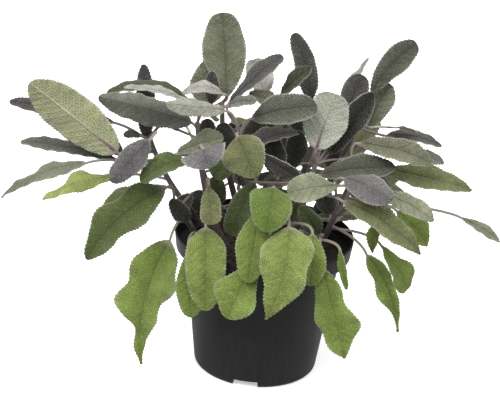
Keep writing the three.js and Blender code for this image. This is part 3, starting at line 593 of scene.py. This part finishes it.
# Whether any point is in the pot's wall, the soil or the ground, or almost.
def anyInThePot(points):
    z, r, clear = points[:, 2], np.hypot(points[:, 0], points[:, 1]), growth["potClearance"]
    low = (z < soil["top"] + soil["crown"]) & (r < potRadius(z) + clear)
    wall = (z < pot["height"] + clear) & (np.abs(r - pot["rimRadius"] + pot["wall"]) < pot["wall"] + clear)
    high = (z >= soil["top"] + soil["crown"]) & wall
    return bool(((z < clear) | low | high).any())


# Whether two sets of points come nearer to each other than the clearance.
def near(points, others):
    reach = growth["clearance"]
    if not len(points) or not len(others):
        return False
    if (points.min(0) - reach > others.max(0)).any() or (others.min(0) - reach > points.max(0)).any():
        return False
    apart = ((points[:, None] - others[None]) ** 2).sum(-1)
    return bool((apart < reach * reach).any())


# Petioles may meet on their own stem. Everything else stays clear.
def isClear(stem, leaf, placed):
    blade, petiole = leafPoints(leaf)
    free = growth["petioleFree"]
    if anyInThePot(np.concatenate((blade, petiole[1:]))):
        return False
    whole = np.concatenate((blade, petiole))
    for otherStem, otherBlade, otherPetiole in placed:
        if near(blade, otherBlade):
            return False
        if stem != otherStem and near(whole, np.concatenate((otherBlade, otherPetiole))):
            return False
        if near(petiole[free:], otherBlade) or near(blade, otherPetiole[free:]):
            return False
    return True


# Whether a leaf stays behind the ones that show, seen from the front.
def isBehind(leaf):
    tilt = math.radians(growth["viewTilt"])
    blade = leafPoints(leaf)[0]
    x = blade[:, 0]
    high = blade[:, 1] * math.sin(tilt) + (blade[:, 2] - growth["viewHeight"]) * math.cos(tilt)
    inside = np.zeros(len(x), bool)
    for left, low, right, top in growth["behind"]:
        inside |= (x > left) & (x < right) & (high > low) & (high < top)
    return bool(inside.all())


# A leaf that shows, swung along the light by the first swing that keeps it clear, or not at all where
# none does.
def swungLeaf(stem, root, row, placed):
    light = unit(np.array(growth["light"]))
    first = None
    for swing in growth["swings"]:
        base = np.array(row["base"]) + light * swing / 2
        tip = np.array(row["tip"]) + light * swing
        leaf = leafFrom(root, base, tip, row, light)
        first = first or leaf
        if isClear(stem, leaf, placed):
            return leaf
    return first


# A leaf of the hidden side, with its direction, length and form drawn at random.
def hiddenLeaf(root, draw):
    heading = math.radians(draw(*growth["heading"]))
    pitch = math.radians(draw(*growth["pitch"]))
    length = draw(*growth["length"])
    outward = np.array((math.cos(heading), math.sin(heading), 0))
    ahead = outward * math.cos(pitch) + np.array((0, 0, math.sin(pitch)))
    base = root + outward * draw(*growth["petiole"])
    base[2] += draw(*growth["rise"])
    facing = unit(outward * growth["hiddenSlant"] + np.array((0, 0, 1)))
    form = {**plainLeaf, "width": growth["slenderness"] * length, "arch": growth["hiddenArch"]}
    for key in ("turn", "sweep", "fold"):
        form[key] = draw(*growth[key])
    return leafFrom(root, base, base + ahead * length, form, facing)


# The leaves of every stem, first those that show and then the hidden ones. A hidden leaf that finds no
# clear place in all its tries is left out.
def growLeaves():
    grown = {stem: [] for stem in stems}
    placed = []
    checks = np.arange(growth["stemChecks"] + 1) / growth["stemChecks"]
    for stem, facts in stems.items():
        placed.append((stem, np.zeros((0, 3)), curved(*stemLine(facts["path"]), checks)))
    for stem, facts in stems.items():
        line = stemLine(facts["path"])
        for row in facts["leaves"]:
            leaf = swungLeaf(stem, curved(*line, row["at"]), row, placed)
            leaf["hidden"] = False
            grown[stem].append(leaf)
            placed.append((stem, *leafPoints(leaf)))
    draw = drawsFrom(growth["hiddenSeed"])
    for stem, facts in stems.items():
        line = stemLine(facts["path"])
        for k in range(facts["hidden"]):
            for attempt in range(growth["hiddenTries"]):
                leaf = hiddenLeaf(curved(*line, (k + 1) / facts["hidden"]), draw)
                if isBehind(leaf) and isClear(stem, leaf, placed):
                    leaf["tint"] = hiddenTints[len(placed) % len(hiddenTints)]
                    leaf["hidden"] = True
                    grown[stem].append(leaf)
                    placed.append((stem, *leafPoints(leaf)))
                    break
    return grown


# The fine skin of a leaf: scalloped margins, a sunken midrib, quilting between the side veins and
# pebbles between the smaller ones. fadeBase, fadeTip, blendBy and bladeFrom are shares of the blade's
# length, and each outlineStep, swellStep, pebbleStep or patternStep keeps one leaf's noise or pattern
# apart from the next leaf's.
skin = {
    "across": (0, 0.05, 0.12, 0.22, 0.34, 0.48, 0.62, 0.76, 0.88, 0.96, 1),
    "rowSpacing": 0.6, "hiddenSpacing": 1.2, "fewestRows": 12, "lastRow": 0.9995, "petioleRows": 9,
    "roundness": 2.4, "flatter": 8, "foldRound": 0.8,
    "scallop": 2.2, "scallopDepth": 0.85, "scallopMiddle": 0.7, "scallopPower": 8,
    "ripple": 0.4, "rippleLength": 9, "ripplePower": 4,
    "outline": 0.11, "outlineLength": 17, "sideStep": 3, "outlineStep": 5,
    "swell": 1.3, "swellLength": 15, "swellStart": 50, "swellStep": 9,
    "midrib": 0.45, "midribWidth": 0.75, "midribPower": 0.5,
    "veinSpacing": 5, "veinSlant": 0.8, "quilt": 0.14, "quiltFrom": 2,
    "pebble": 0.3, "pebbleSize": 1.6, "pebbleStep": 7, "marginPower": 20, "levelPower": 6,
    "fadeBase": 0.08, "fadeTip": 0.03, "fadeLeast": 0.3,
    "petioleGroove": 0.3, "grooveWidth": 0.45, "petioleTint": 0.2, "petioleBlend": 0.8, "blendBy": 0.1,
    "bladeFrom": 0.06, "tintSpread": (0.93, 1.07), "underTint": 0.6,
    "patternStep": 100, "petiolePattern": (-40, 30), "stemPattern": 60,
    "petioleColor": "#8e8281", "stemColor": "#463b3c", "stemTopColor": "#6c6160",
    "stemSides": 12, "stemSteps": 26, "stemSquare": 0.1, "stemSunk": 2, "seed": 7, "weld": 0.0001,
}


# Places round a leaf's section: how far across, and whether on its upper face (1) or its lower one (-1).
def ringPlaces():
    half = np.array(skin["across"], float)
    upper = np.concatenate((-half[::-1], half[1:]))
    u = np.concatenate((upper, upper[-2:0:-1]))
    v = np.concatenate(([0], np.ones(len(upper) - 2), [0], -np.ones(len(upper) - 2)))
    return u, v


# Height of the skin above its plain form, at so far across and along a blade. The side veins of one half
# alternate with those of the other.
def relief(across, along, t):
    groove = -skin["midrib"] * np.exp(-(across / skin["midribWidth"]) ** 2) * (1 - t) ** skin["midribPower"]
    phase = (along - skin["veinSlant"] * np.abs(across)) / skin["veinSpacing"] + np.where(across > 0, 0.5, 0)
    quilt = skin["quilt"] * np.cos(2 * math.pi * phase) * np.minimum(1, np.abs(across) / skin["quiltFrom"])
    return groove + quilt


# A closed tube of rings, made from a welded grid. Each ring is its points in millimetres, and what its
# points carry for the material: the place on the blade, the share and side, and the tints of both faces.
tubeLayers = ("bladePlace", "bladeShare", "leafTint", "leafUnder")


def addTube(bm, rings):
    rows, columns = len(rings), len(rings[0][0])
    tube = bmesh.new()
    bmesh.ops.create_grid(tube, x_segments=columns, y_segments=rows - 1, size=0.5)
    layers = [tube.verts.layers.float_vector.new(name) for name in tubeLayers[:2]]
    layers += [tube.verts.layers.float_color.new(name) for name in tubeLayers[2:]]
    for vert in tube.verts:
        column = round((vert.co.x + 0.5) * columns) % columns
        points, *carried = rings[round((vert.co.y + 0.5) * (rows - 1))]
        vert.co = points[column] * mm
        for layer, values in zip(layers, carried):
            vert[layer] = values[column]
    bmesh.ops.remove_doubles(tube, verts=tube.verts, dist=skin["weld"] * mm)
    bmesh.ops.holes_fill(tube, edges=[e for e in tube.edges if e.is_boundary], sides=0)
    bmesh.ops.recalc_face_normals(tube, faces=tube.faces)
    mesh = bpy.data.meshes.new("tube")
    tube.to_mesh(mesh)
    tube.free()
    bm.from_mesh(mesh)
    bpy.data.meshes.remove(mesh)


# One ring of such a tube.
def ringOf(points, across, along, t, edge, v, tint, under):
    count = len(points)
    place = np.stack((across, np.full(count, along), np.zeros(count)), -1)
    share = np.stack((np.full(count, t), edge, (1 - v) / 2), -1)
    return points, place, share, np.tile(tint, (count, 1)), np.tile(under, (count, 1))


# Rings of a petiole, from its stem to its blade, with a groove along its upper side.
def petioleRings(leaf, number, tint, petioleColor):
    u, v = ringPlaces()
    profile = (1 - np.abs(u) ** skin["roundness"]) ** (1 / skin["roundness"])
    groove = np.where(v > 0, skin["petioleGroove"] * np.exp(-(u / skin["grooveWidth"]) ** 2), 0)
    start, length = skin["petiolePattern"]
    rings = []
    for s in np.arange(skin["petioleRows"]) / skin["petioleRows"]:
        middle = curved(leaf["root"], leaf["bend"], leaf["base"], s)
        ahead = curvedAhead(leaf["root"], leaf["bend"], leaf["base"], s)
        up = unit(leaf["face"] - ahead * leaf["face"].dot(ahead))
        side = np.cross(ahead, up)
        rise = v * profile * growth["petioleThickness"] / 2 - groove
        points = middle + side * (u * growth["petioleHalf"])[:, None] + up * rise[:, None]
        color = petioleColor + (tint - petioleColor) * skin["petioleTint"] * s
        color[3] = 0
        along = skin["patternStep"] * number + start + length * s
        rings.append(ringOf(points, u, along, 0, np.zeros(len(u)), v, color, color))
    return rings


# How far each point of a row stands out sideways: scallops along both margins, and a slow bulge that
# differs from one margin to the other.
def marginReach(leaf, number, t, u, phases, fade):
    far = t * leaf["length"]
    turns = far / skin["scallop"] + np.where(u > 0, phases[0], phases[1])
    scallop = np.abs(np.sin(math.pi * turns)) - skin["scallopMiddle"]
    reach = scallop * skin["scallopDepth"] * np.abs(u) ** skin["scallopPower"] * fade
    size = skin["outline"] * leaf["width"] * leaf["wave"] * u * u * math.sin(math.pi * t)
    for turned in (-1, 1):
        spot = Vector((far / skin["outlineLength"], skin["sideStep"] * turned, skin["outlineStep"] * number))
        reach = reach + np.where(u * turned > 0, noise.noise(spot) * size, 0)
    return reach


# Noise over one row of a blade, at a depth of its own for each leaf.
def rowNoise(across, far, depth, length):
    spots = np.stack((across, np.full(len(across), far), np.full(len(across), depth)), -1) / length
    return np.array([noise.noise(Vector(spot)) for spot in spots])


# Rings of a blade, scalloped along its margins, quilted, pebbled and swollen on its faces.
def bladeRings(leaf, number, tint, under, petioleColor, phases):
    u, v = ringPlaces()
    spacing = skin["hiddenSpacing"] if leaf["hidden"] else skin["rowSpacing"]
    petiole, blade = growth["petioleThickness"], growth["bladeThickness"]
    rings = []
    for t in np.linspace(0, skin["lastRow"], max(skin["fewestRows"], round(leaf["length"] / spacing))):
        far = t * leaf["length"]
        fade = min(1, t / skin["fadeBase"]) * min(1, (1 - t) / skin["fadeTip"] + skin["fadeLeast"])
        reach = marginReach(leaf, number, t, u, phases, fade)
        place, normal, across = onBlade(leaf, t, u, reach, skin["foldRound"])
        thin = min(1, t / growth["thinBy"])
        power = skin["roundness"] + skin["flatter"] * thin
        body = (1 - np.abs(u) ** power) ** (1 / power) * (petiole + (blade - petiole) * thin) / 2
        pebbles = skin["pebble"] * rowNoise(across, far, skin["pebbleStep"] * number, skin["pebbleSize"])
        raised = (relief(across, far, t) + pebbles) * (1 - u ** skin["levelPower"]) * fade
        waves = np.sin(2 * math.pi * (far / skin["rippleLength"] + phases[2]))
        raised = raised + skin["ripple"] * waves * u ** skin["ripplePower"] * fade
        depth = skin["swellStart"] + skin["swellStep"] * number
        swell = rowNoise(across, far, depth, skin["swellLength"])
        raised = raised + skin["swell"] * math.sin(math.pi * t) * swell
        blend = skin["petioleBlend"] * max(0, 1 - t / skin["blendBy"])
        above = tint + (petioleColor - tint) * blend
        below = under + (petioleColor - under) * blend
        above[3] = min(1, t / skin["bladeFrom"])
        below[3] = leaf["purple"]
        edge = np.abs(u) ** skin["marginPower"]
        points = place + normal * (raised + v * body)[:, None]
        rings.append(ringOf(points, across, skin["patternStep"] * number + far, t, edge, v, above, below))
    return rings


def addLeaf(bm, leaf, number, draw):
    tint = np.array(linear(tints[leaf["tint"]])) * draw.uniform(*skin["tintSpread"])
    under = np.array(linear(tints[leaf.get("under", "paleUnder")]))
    if "under" not in leaf:
        under = skin["underTint"] * tint + (1 - skin["underTint"]) * under
    petioleColor = np.array(linear(skin["petioleColor"]))
    phases = draw.uniform(0, 1, 3)
    rings = petioleRings(leaf, number, tint, petioleColor)
    addTube(bm, rings + bladeRings(leaf, number, tint, under, petioleColor, phases))


# A stem from its root in the soil to its top, with slightly square sides.
def addStem(bm, path, number):
    line = stemLine(path)
    shares = np.concatenate(([0, 0], np.linspace(0, 1, skin["stemSteps"])))
    turns = np.arange(skin["stemSides"]) * 2 * math.pi / skin["stemSides"]
    none = np.zeros(len(turns))
    square = 1 + skin["stemSquare"] * np.cos(4 * turns)
    low, high = np.array(linear(skin["stemColor"])), np.array(linear(skin["stemTopColor"]))
    thick, thin = growth["stemRadiusLow"], growth["stemRadiusHigh"]
    below = (soil["top"] - growth["rootDepth"], soil["top"] + soil["crown"] - skin["stemSunk"])
    rings = []
    for row, share in enumerate(shares):
        middle = curved(*line, share)
        ahead = curvedAhead(*line, share)
        if row < len(below):
            middle = np.array((path[0][0], path[0][1], below[row]))
            ahead = np.array((0.0, 0, 1))
        across = unit(np.cross((0, 1, 0), ahead))
        deep = np.cross(ahead, across)
        radius = thick + (thin - thick) * share
        reach = (radius * square)[:, None]
        points = middle + across * np.cos(turns)[:, None] * reach + deep * np.sin(turns)[:, None] * reach
        color = low + (high - low) * share
        color[3] = 0
        along = skin["patternStep"] * number + skin["stemPattern"] * share
        rings.append(ringOf(points, turns * radius, along, 0, none, none, color, color))
    addTube(bm, rings)


def makeLeafyStems(material):
    grown = growLeaves()
    print("leaves grown:", sum(len(leaves) for leaves in grown.values()))
    number = 0
    for stem, leaves in grown.items():
        draw = np.random.default_rng(number + skin["seed"])
        bm = bmesh.new()
        addStem(bm, stems[stem]["path"], number)
        for leaf in leaves:
            number += 1
            addLeaf(bm, leaf, number, draw)
        addPiece(f"sageStem_{stem}", bm, material, f"leafy_stem_{stem}")
    print("leafy stems modelled")


# Sage leaf: a living leaf covered in short felt. The felt keeps it matt and pale at a glancing angle,
# and the net of veins breaks it into small pebbles. The real pebbles hardly show at this distance, so
# they are drawn up to twice as coarse. The felt's hairs are only a tint and a sheen.
# Painted shade darkens the sunken net and veins and the blade's middle, and painted light lifts its margins.
leafLook = {
    "cell": 1.2, "net": 0.5, "paintedNetShade": 0.49, "pebbleShading": 1.04, "pebbleStretch": 1.3,
    "veinShade": 0.78, "veinWidth": 0.5, "veinDepth": 0.7,
    "midrib": (0.95, 0.4), "midribTaper": 1.8, "midribBelow": 0.55,
    "underCell": 1.9, "underNet": 0.3, "netShare": 0.55, "underShare": 0.72, "ribShare": 0.85,
    "underTone": 0.88, "veinPale": "#d2d2bc", "midribPurple": "#6b4b52", "purpleFull": 0.05,
    "mottle": "#8a8078", "mottleFrom": (0.4, 0.75), "mottleShare": 0.5,
    "felt": "#c4c6b6", "marginFelt": 0.8, "pebbleFelt": (0.1, 0.34), "greenFelt": 0.42,
    "greyToGreen": (0.3, 0.85), "patch": 8, "patchDetail": 3, "patchFrom": (0.3, 0.7),
    "patchTone": (0.86, 1.14), "midribShadeMarginLight": (0.9, 1.16), "middleReach": 8,
    "bump": 0.6, "roughness": 0.75, "ior": 1.4, "specular": 0.3,
    "sheen": (0.3, 0.2), "sheenRoughness": 0.4,
}


def sageLeaf():
    look = leafLook
    material, add = newMaterial("feltedSageLeaf")
    place = add("Attribute", attribute_name="bladePlace").outputs["Vector"]
    shares = add("Attribute", attribute_name="bladeShare").outputs["Vector"]
    upper = add("Attribute", attribute_name="leafTint").outputs
    lower = add("Attribute", attribute_name="leafUnder").outputs
    tint, blade = upper["Color"], upper["Alpha"]
    across, along, _ = add("SeparateXYZ", {0: place}).outputs
    t, edge, under = add("SeparateXYZ", {0: shares}).outputs
    # A green leaf has less felt than a grey one, and its veins show less.
    colorfulness = add("SeparateColor", {0: tint}, mode="HSV").outputs[1]
    low, high = look["greyToGreen"]
    woolly = add("MapRange", {0: colorfulness, 1: low, 2: high, 3: 1, 4: look["greenFelt"]})
    # Pebbles, and the net of the smallest veins between them.
    flat = add("CombineXYZ", {0: across, 1: along})
    size = add("Math", {0: across}, operation="ABSOLUTE")
    slant = add("Math", {0: size, 1: -skin["veinSlant"], 2: along}, operation="MULTIPLY_ADD")
    stretched = add("Math", {0: slant, 1: look["pebbleStretch"]}, operation="MULTIPLY")
    leaning = add("CombineXYZ", {0: across, 1: stretched})
    toEdge = {"voronoi_dimensions": "2D", "feature": "DISTANCE_TO_EDGE"}
    cells = add("TexVoronoi", {"Vector": leaning, "Scale": 1 / look["cell"]}, **toEdge)
    pebble = add("MapRange", {0: cells, 1: 0, 2: look["net"]}, interpolation_type="SMOOTHSTEP")
    wide = add("TexVoronoi", {"Vector": flat, "Scale": 1 / look["underCell"]}, **toEdge)
    net = add("MapRange", {0: wide, 1: look["underNet"], 2: 0}, interpolation_type="SMOOTHSTEP")
    # Side veins slant towards the tip from a midrib that thins towards it.
    half = skin["veinSpacing"] / 2
    right = add("Math", {0: across, 1: 0}, operation="GREATER_THAN")
    row = add("Math", {0: right, 1: half, 2: slant}, operation="MULTIPLY_ADD")
    between = add("Math", {0: row, 1: half}, operation="PINGPONG")
    away = add("Math", {0: half, 1: between}, operation="SUBTRACT")
    sideVein = add("MapRange", {0: away, 1: look["veinWidth"], 2: 0}, interpolation_type="SMOOTHSTEP")
    widening = add("MapRange", {0: under, 3: 1, 4: look["midribBelow"]})
    thinning = add("Math", {0: t, 1: look["midribTaper"], 2: widening}, operation="MULTIPLY_ADD")
    fromRib = add("Math", {0: size, 1: thinning}, operation="MULTIPLY")
    low, high = look["midrib"]
    midrib = add("MapRange", {0: fromRib, 1: low, 2: high}, interpolation_type="SMOOTHSTEP")
    veins = add("Math", {0: sideVein, 1: midrib}, operation="MAXIMUM")
    # Above, the pebble tops are pale with felt, and painted shade darkens the sunken net and veins.
    pebbleShading = add("MapRange", {0: pebble, 3: look["paintedNetShade"], 4: look["pebbleShading"]})
    shown = add("Math", {0: veins, 1: woolly}, operation="MULTIPLY")
    veinShade = add("MapRange", {0: shown, 3: 1, 4: look["veinShade"]})
    pebbleAndVeinShade = add("Math", {0: pebbleShading, 1: veinShade}, operation="MULTIPLY")
    patch = add("TexNoise", {
        "Vector": flat, "Scale": 1 / look["patch"], "Detail": look["patchDetail"]}, noise_dimensions="2D")
    start, end = look["patchFrom"]
    low, high = look["patchTone"]
    patchTone = add("MapRange", {0: patch, 1: start, 2: end, 3: low, 4: high})
    # Painted shade along the midrib and painted light towards the margins, times the patches of the leaf's
    # own tone.
    low, high = look["midribShadeMarginLight"]
    midribShading = add("MapRange", {0: size, 2: look["middleReach"], 3: low, 4: high})
    patchesAndShading = add("Math", {0: patchTone, 1: midribShading}, operation="MULTIPLY")
    tinted = add("VectorMath", {0: tint, "Scale": patchesAndShading}, operation="SCALE")
    above = add("VectorMath", {0: tinted, "Scale": pebbleAndVeinShade}, operation="SCALE")
    # Below, the veins stand out pale, and the midrib is purple as far up as its leaf's row says.
    thinNet = add("Math", {0: net, 1: look["netShare"]}, operation="MULTIPLY")
    netShare = add("Math", {0: thinNet, 1: veins}, operation="MAXIMUM")
    netPale = add("Math", {0: netShare, 1: look["underShare"]}, operation="MULTIPLY")
    ribPale = add("Math", {0: midrib, 1: look["ribShare"]}, operation="MULTIPLY")
    paleShare = add("Math", {0: netPale, 1: ribPale}, operation="MAXIMUM")
    underTone = add("MapRange", {0: pebble, 3: look["underTone"], 4: 1})
    ground = add("VectorMath", {0: lower["Color"], "Scale": underTone}, operation="SCALE")
    low, high = look["mottleFrom"]
    mottle = add("MapRange", {0: patch, 1: low, 2: high, 3: 0, 4: look["mottleShare"]})
    nearBase = add("MapRange", {0: t, 1: lower["Alpha"], 2: look["purpleFull"]})
    purple = add("Math", {0: midrib, 1: nearBase}, operation="MULTIPLY")
    below = ground
    for share, name in ((mottle, "mottle"), (paleShare, "veinPale"), (purple, "midribPurple")):
        below = add("Mix", {0: share, 6: below, 7: linear(look[name])}, data_type="RGBA").outputs[2]
    faced = add("Mix", {0: under, 6: above, 7: below}, data_type="RGBA").outputs[2]
    grown = add("Mix", {0: blade, 6: tint, 7: faced}, data_type="RGBA").outputs[2]
    # Felt is on the pebbles of the upper face, thicker away from the midrib, and along the margins.
    onTop = add("Math", {0: blade, 1: under}, operation="SUBTRACT", use_clamp=True)
    feltTop = add("Math", {0: pebble, 1: onTop}, operation="MULTIPLY")
    low, high = look["pebbleFelt"]
    thick = add("MapRange", {0: size, 2: look["middleReach"], 3: low, 4: high})
    feltSpot = add("Math", {0: feltTop, 1: thick}, operation="MULTIPLY")
    feltAll = add("Math", {0: edge, 1: look["marginFelt"], 2: feltSpot}, operation="MULTIPLY_ADD")
    feltShare = add("Math", {0: feltAll, 1: woolly}, operation="MULTIPLY")
    felt = linear(look["felt"])
    felted = add("Mix", {0: feltShare, 6: grown, 7: felt}, data_type="RGBA").outputs[2]
    # Veins are sunk above and raised below.
    sunk = add("Math", {0: veins, 1: -look["veinDepth"], 2: pebble}, operation="MULTIPLY_ADD")
    raised = add("Math", {0: netShare, 1: look["veinDepth"]}, operation="MULTIPLY")
    height = add("Mix", {0: under, 2: sunk, 3: raised})
    onBladeHeight = add("Math", {0: height, 1: blade}, operation="MULTIPLY")
    bump = add("Bump", {"Height": onBladeHeight, "Distance": look["bump"] * mm, "Strength": 1})
    low, high = look["sheen"]
    sheen = add("MapRange", {0: blade, 3: low, 4: high})
    shader = add("BsdfPrincipled", {
        "Base Color": felted, "Roughness": look["roughness"], "IOR": look["ior"], "Normal": bump,
        "Specular IOR Level": look["specular"], "Sheen Weight": sheen,
        "Sheen Roughness": look["sheenRoughness"], "Sheen Tint": felt})
    add("OutputMaterial", {"Surface": shader})
    return material


# Polypropylene, thermoformed: nearly black, with a low shine and faint streaks down the draw, which
# change so many times to the metre of height. The grain is drawn several times coarser than the real one.
plasticLook = {
    "color": "#222222", "worn": "#2a2a29", "wornFrom": (0.35, 0.7),
    "streak": 2.2, "streaksDown": 12, "grain": 0.35, "grainShare": 0.35, "detail": 2,
    "smoothFrom": (0.3, 0.7), "roughness": (0.48, 0.62), "specular": 0.08, "bump": 0.12, "bumpStrength": 0.5,
}


def formedPolypropylene():
    look = plasticLook
    material, add = newMaterial("formedPolypropylene")
    place = add("TexCoord").outputs["Object"]
    fine = 1 / (look["streak"] * mm)
    tall = add("Mapping", {"Vector": place, "Scale": (fine, fine, look["streaksDown"])})
    streaks = add("TexNoise", {"Vector": tall, "Scale": 1, "Detail": look["detail"]})
    grain = add("TexNoise", {"Vector": place, "Scale": 1 / (look["grain"] * mm), "Detail": look["detail"]})
    start, end = look["wornFrom"]
    worn = add("MapRange", {0: streaks, 1: start, 2: end})
    colors = {6: linear(look["color"]), 7: linear(look["worn"])}
    color = add("Mix", {0: worn, **colors}, data_type="RGBA").outputs[2]
    start, end = look["smoothFrom"]
    low, high = look["roughness"]
    roughness = add("MapRange", {0: streaks, 1: start, 2: end, 3: low, 4: high})
    height = add("Math", {0: grain, 1: look["grainShare"], 2: streaks}, operation="MULTIPLY_ADD")
    bump = add("Bump", {"Height": height, "Distance": look["bump"] * mm, "Strength": look["bumpStrength"]})
    shader = add("BsdfPrincipled", {
        "Base Color": color, "Roughness": roughness, "Normal": bump, "Specular IOR Level": look["specular"]})
    add("OutputMaterial", {"Surface": shader})
    return material


# Peat-free compost: composted bark and fibre, dark and dull, paler where a crumb has dried.
compostLook = {
    "wet": "#1d1713", "dry": "#4a3b30", "dryFrom": (0.42, 0.72), "crumb": 1.1, "detail": 4,
    "roughness": 0.95, "bump": 0.5, "bumpStrength": 0.8,
}


def barkCompost():
    look = compostLook
    material, add = newMaterial("barkCompost")
    place = add("TexCoord").outputs["Object"]
    crumb = add("TexNoise", {"Vector": place, "Scale": 1 / (look["crumb"] * mm), "Detail": look["detail"]})
    start, end = look["dryFrom"]
    dry = add("MapRange", {0: crumb, 1: start, 2: end})
    colors = {6: linear(look["wet"]), 7: linear(look["dry"])}
    color = add("Mix", {0: dry, **colors}, data_type="RGBA").outputs[2]
    bump = add("Bump", {"Height": crumb, "Distance": look["bump"] * mm, "Strength": look["bumpStrength"]})
    shader = add("BsdfPrincipled", {"Base Color": color, "Roughness": look["roughness"], "Normal": bump})
    add("OutputMaterial", {"Surface": shader})
    return material


makeCamera()
makeStudio()
print("camera and studio ready")
makePot(formedPolypropylene())
makeSoil(barkCompost(), [facts["path"][0][:2] for facts in stems.values()])
print("pot and compost modelled")
makeLeafyStems(sageLeaf())
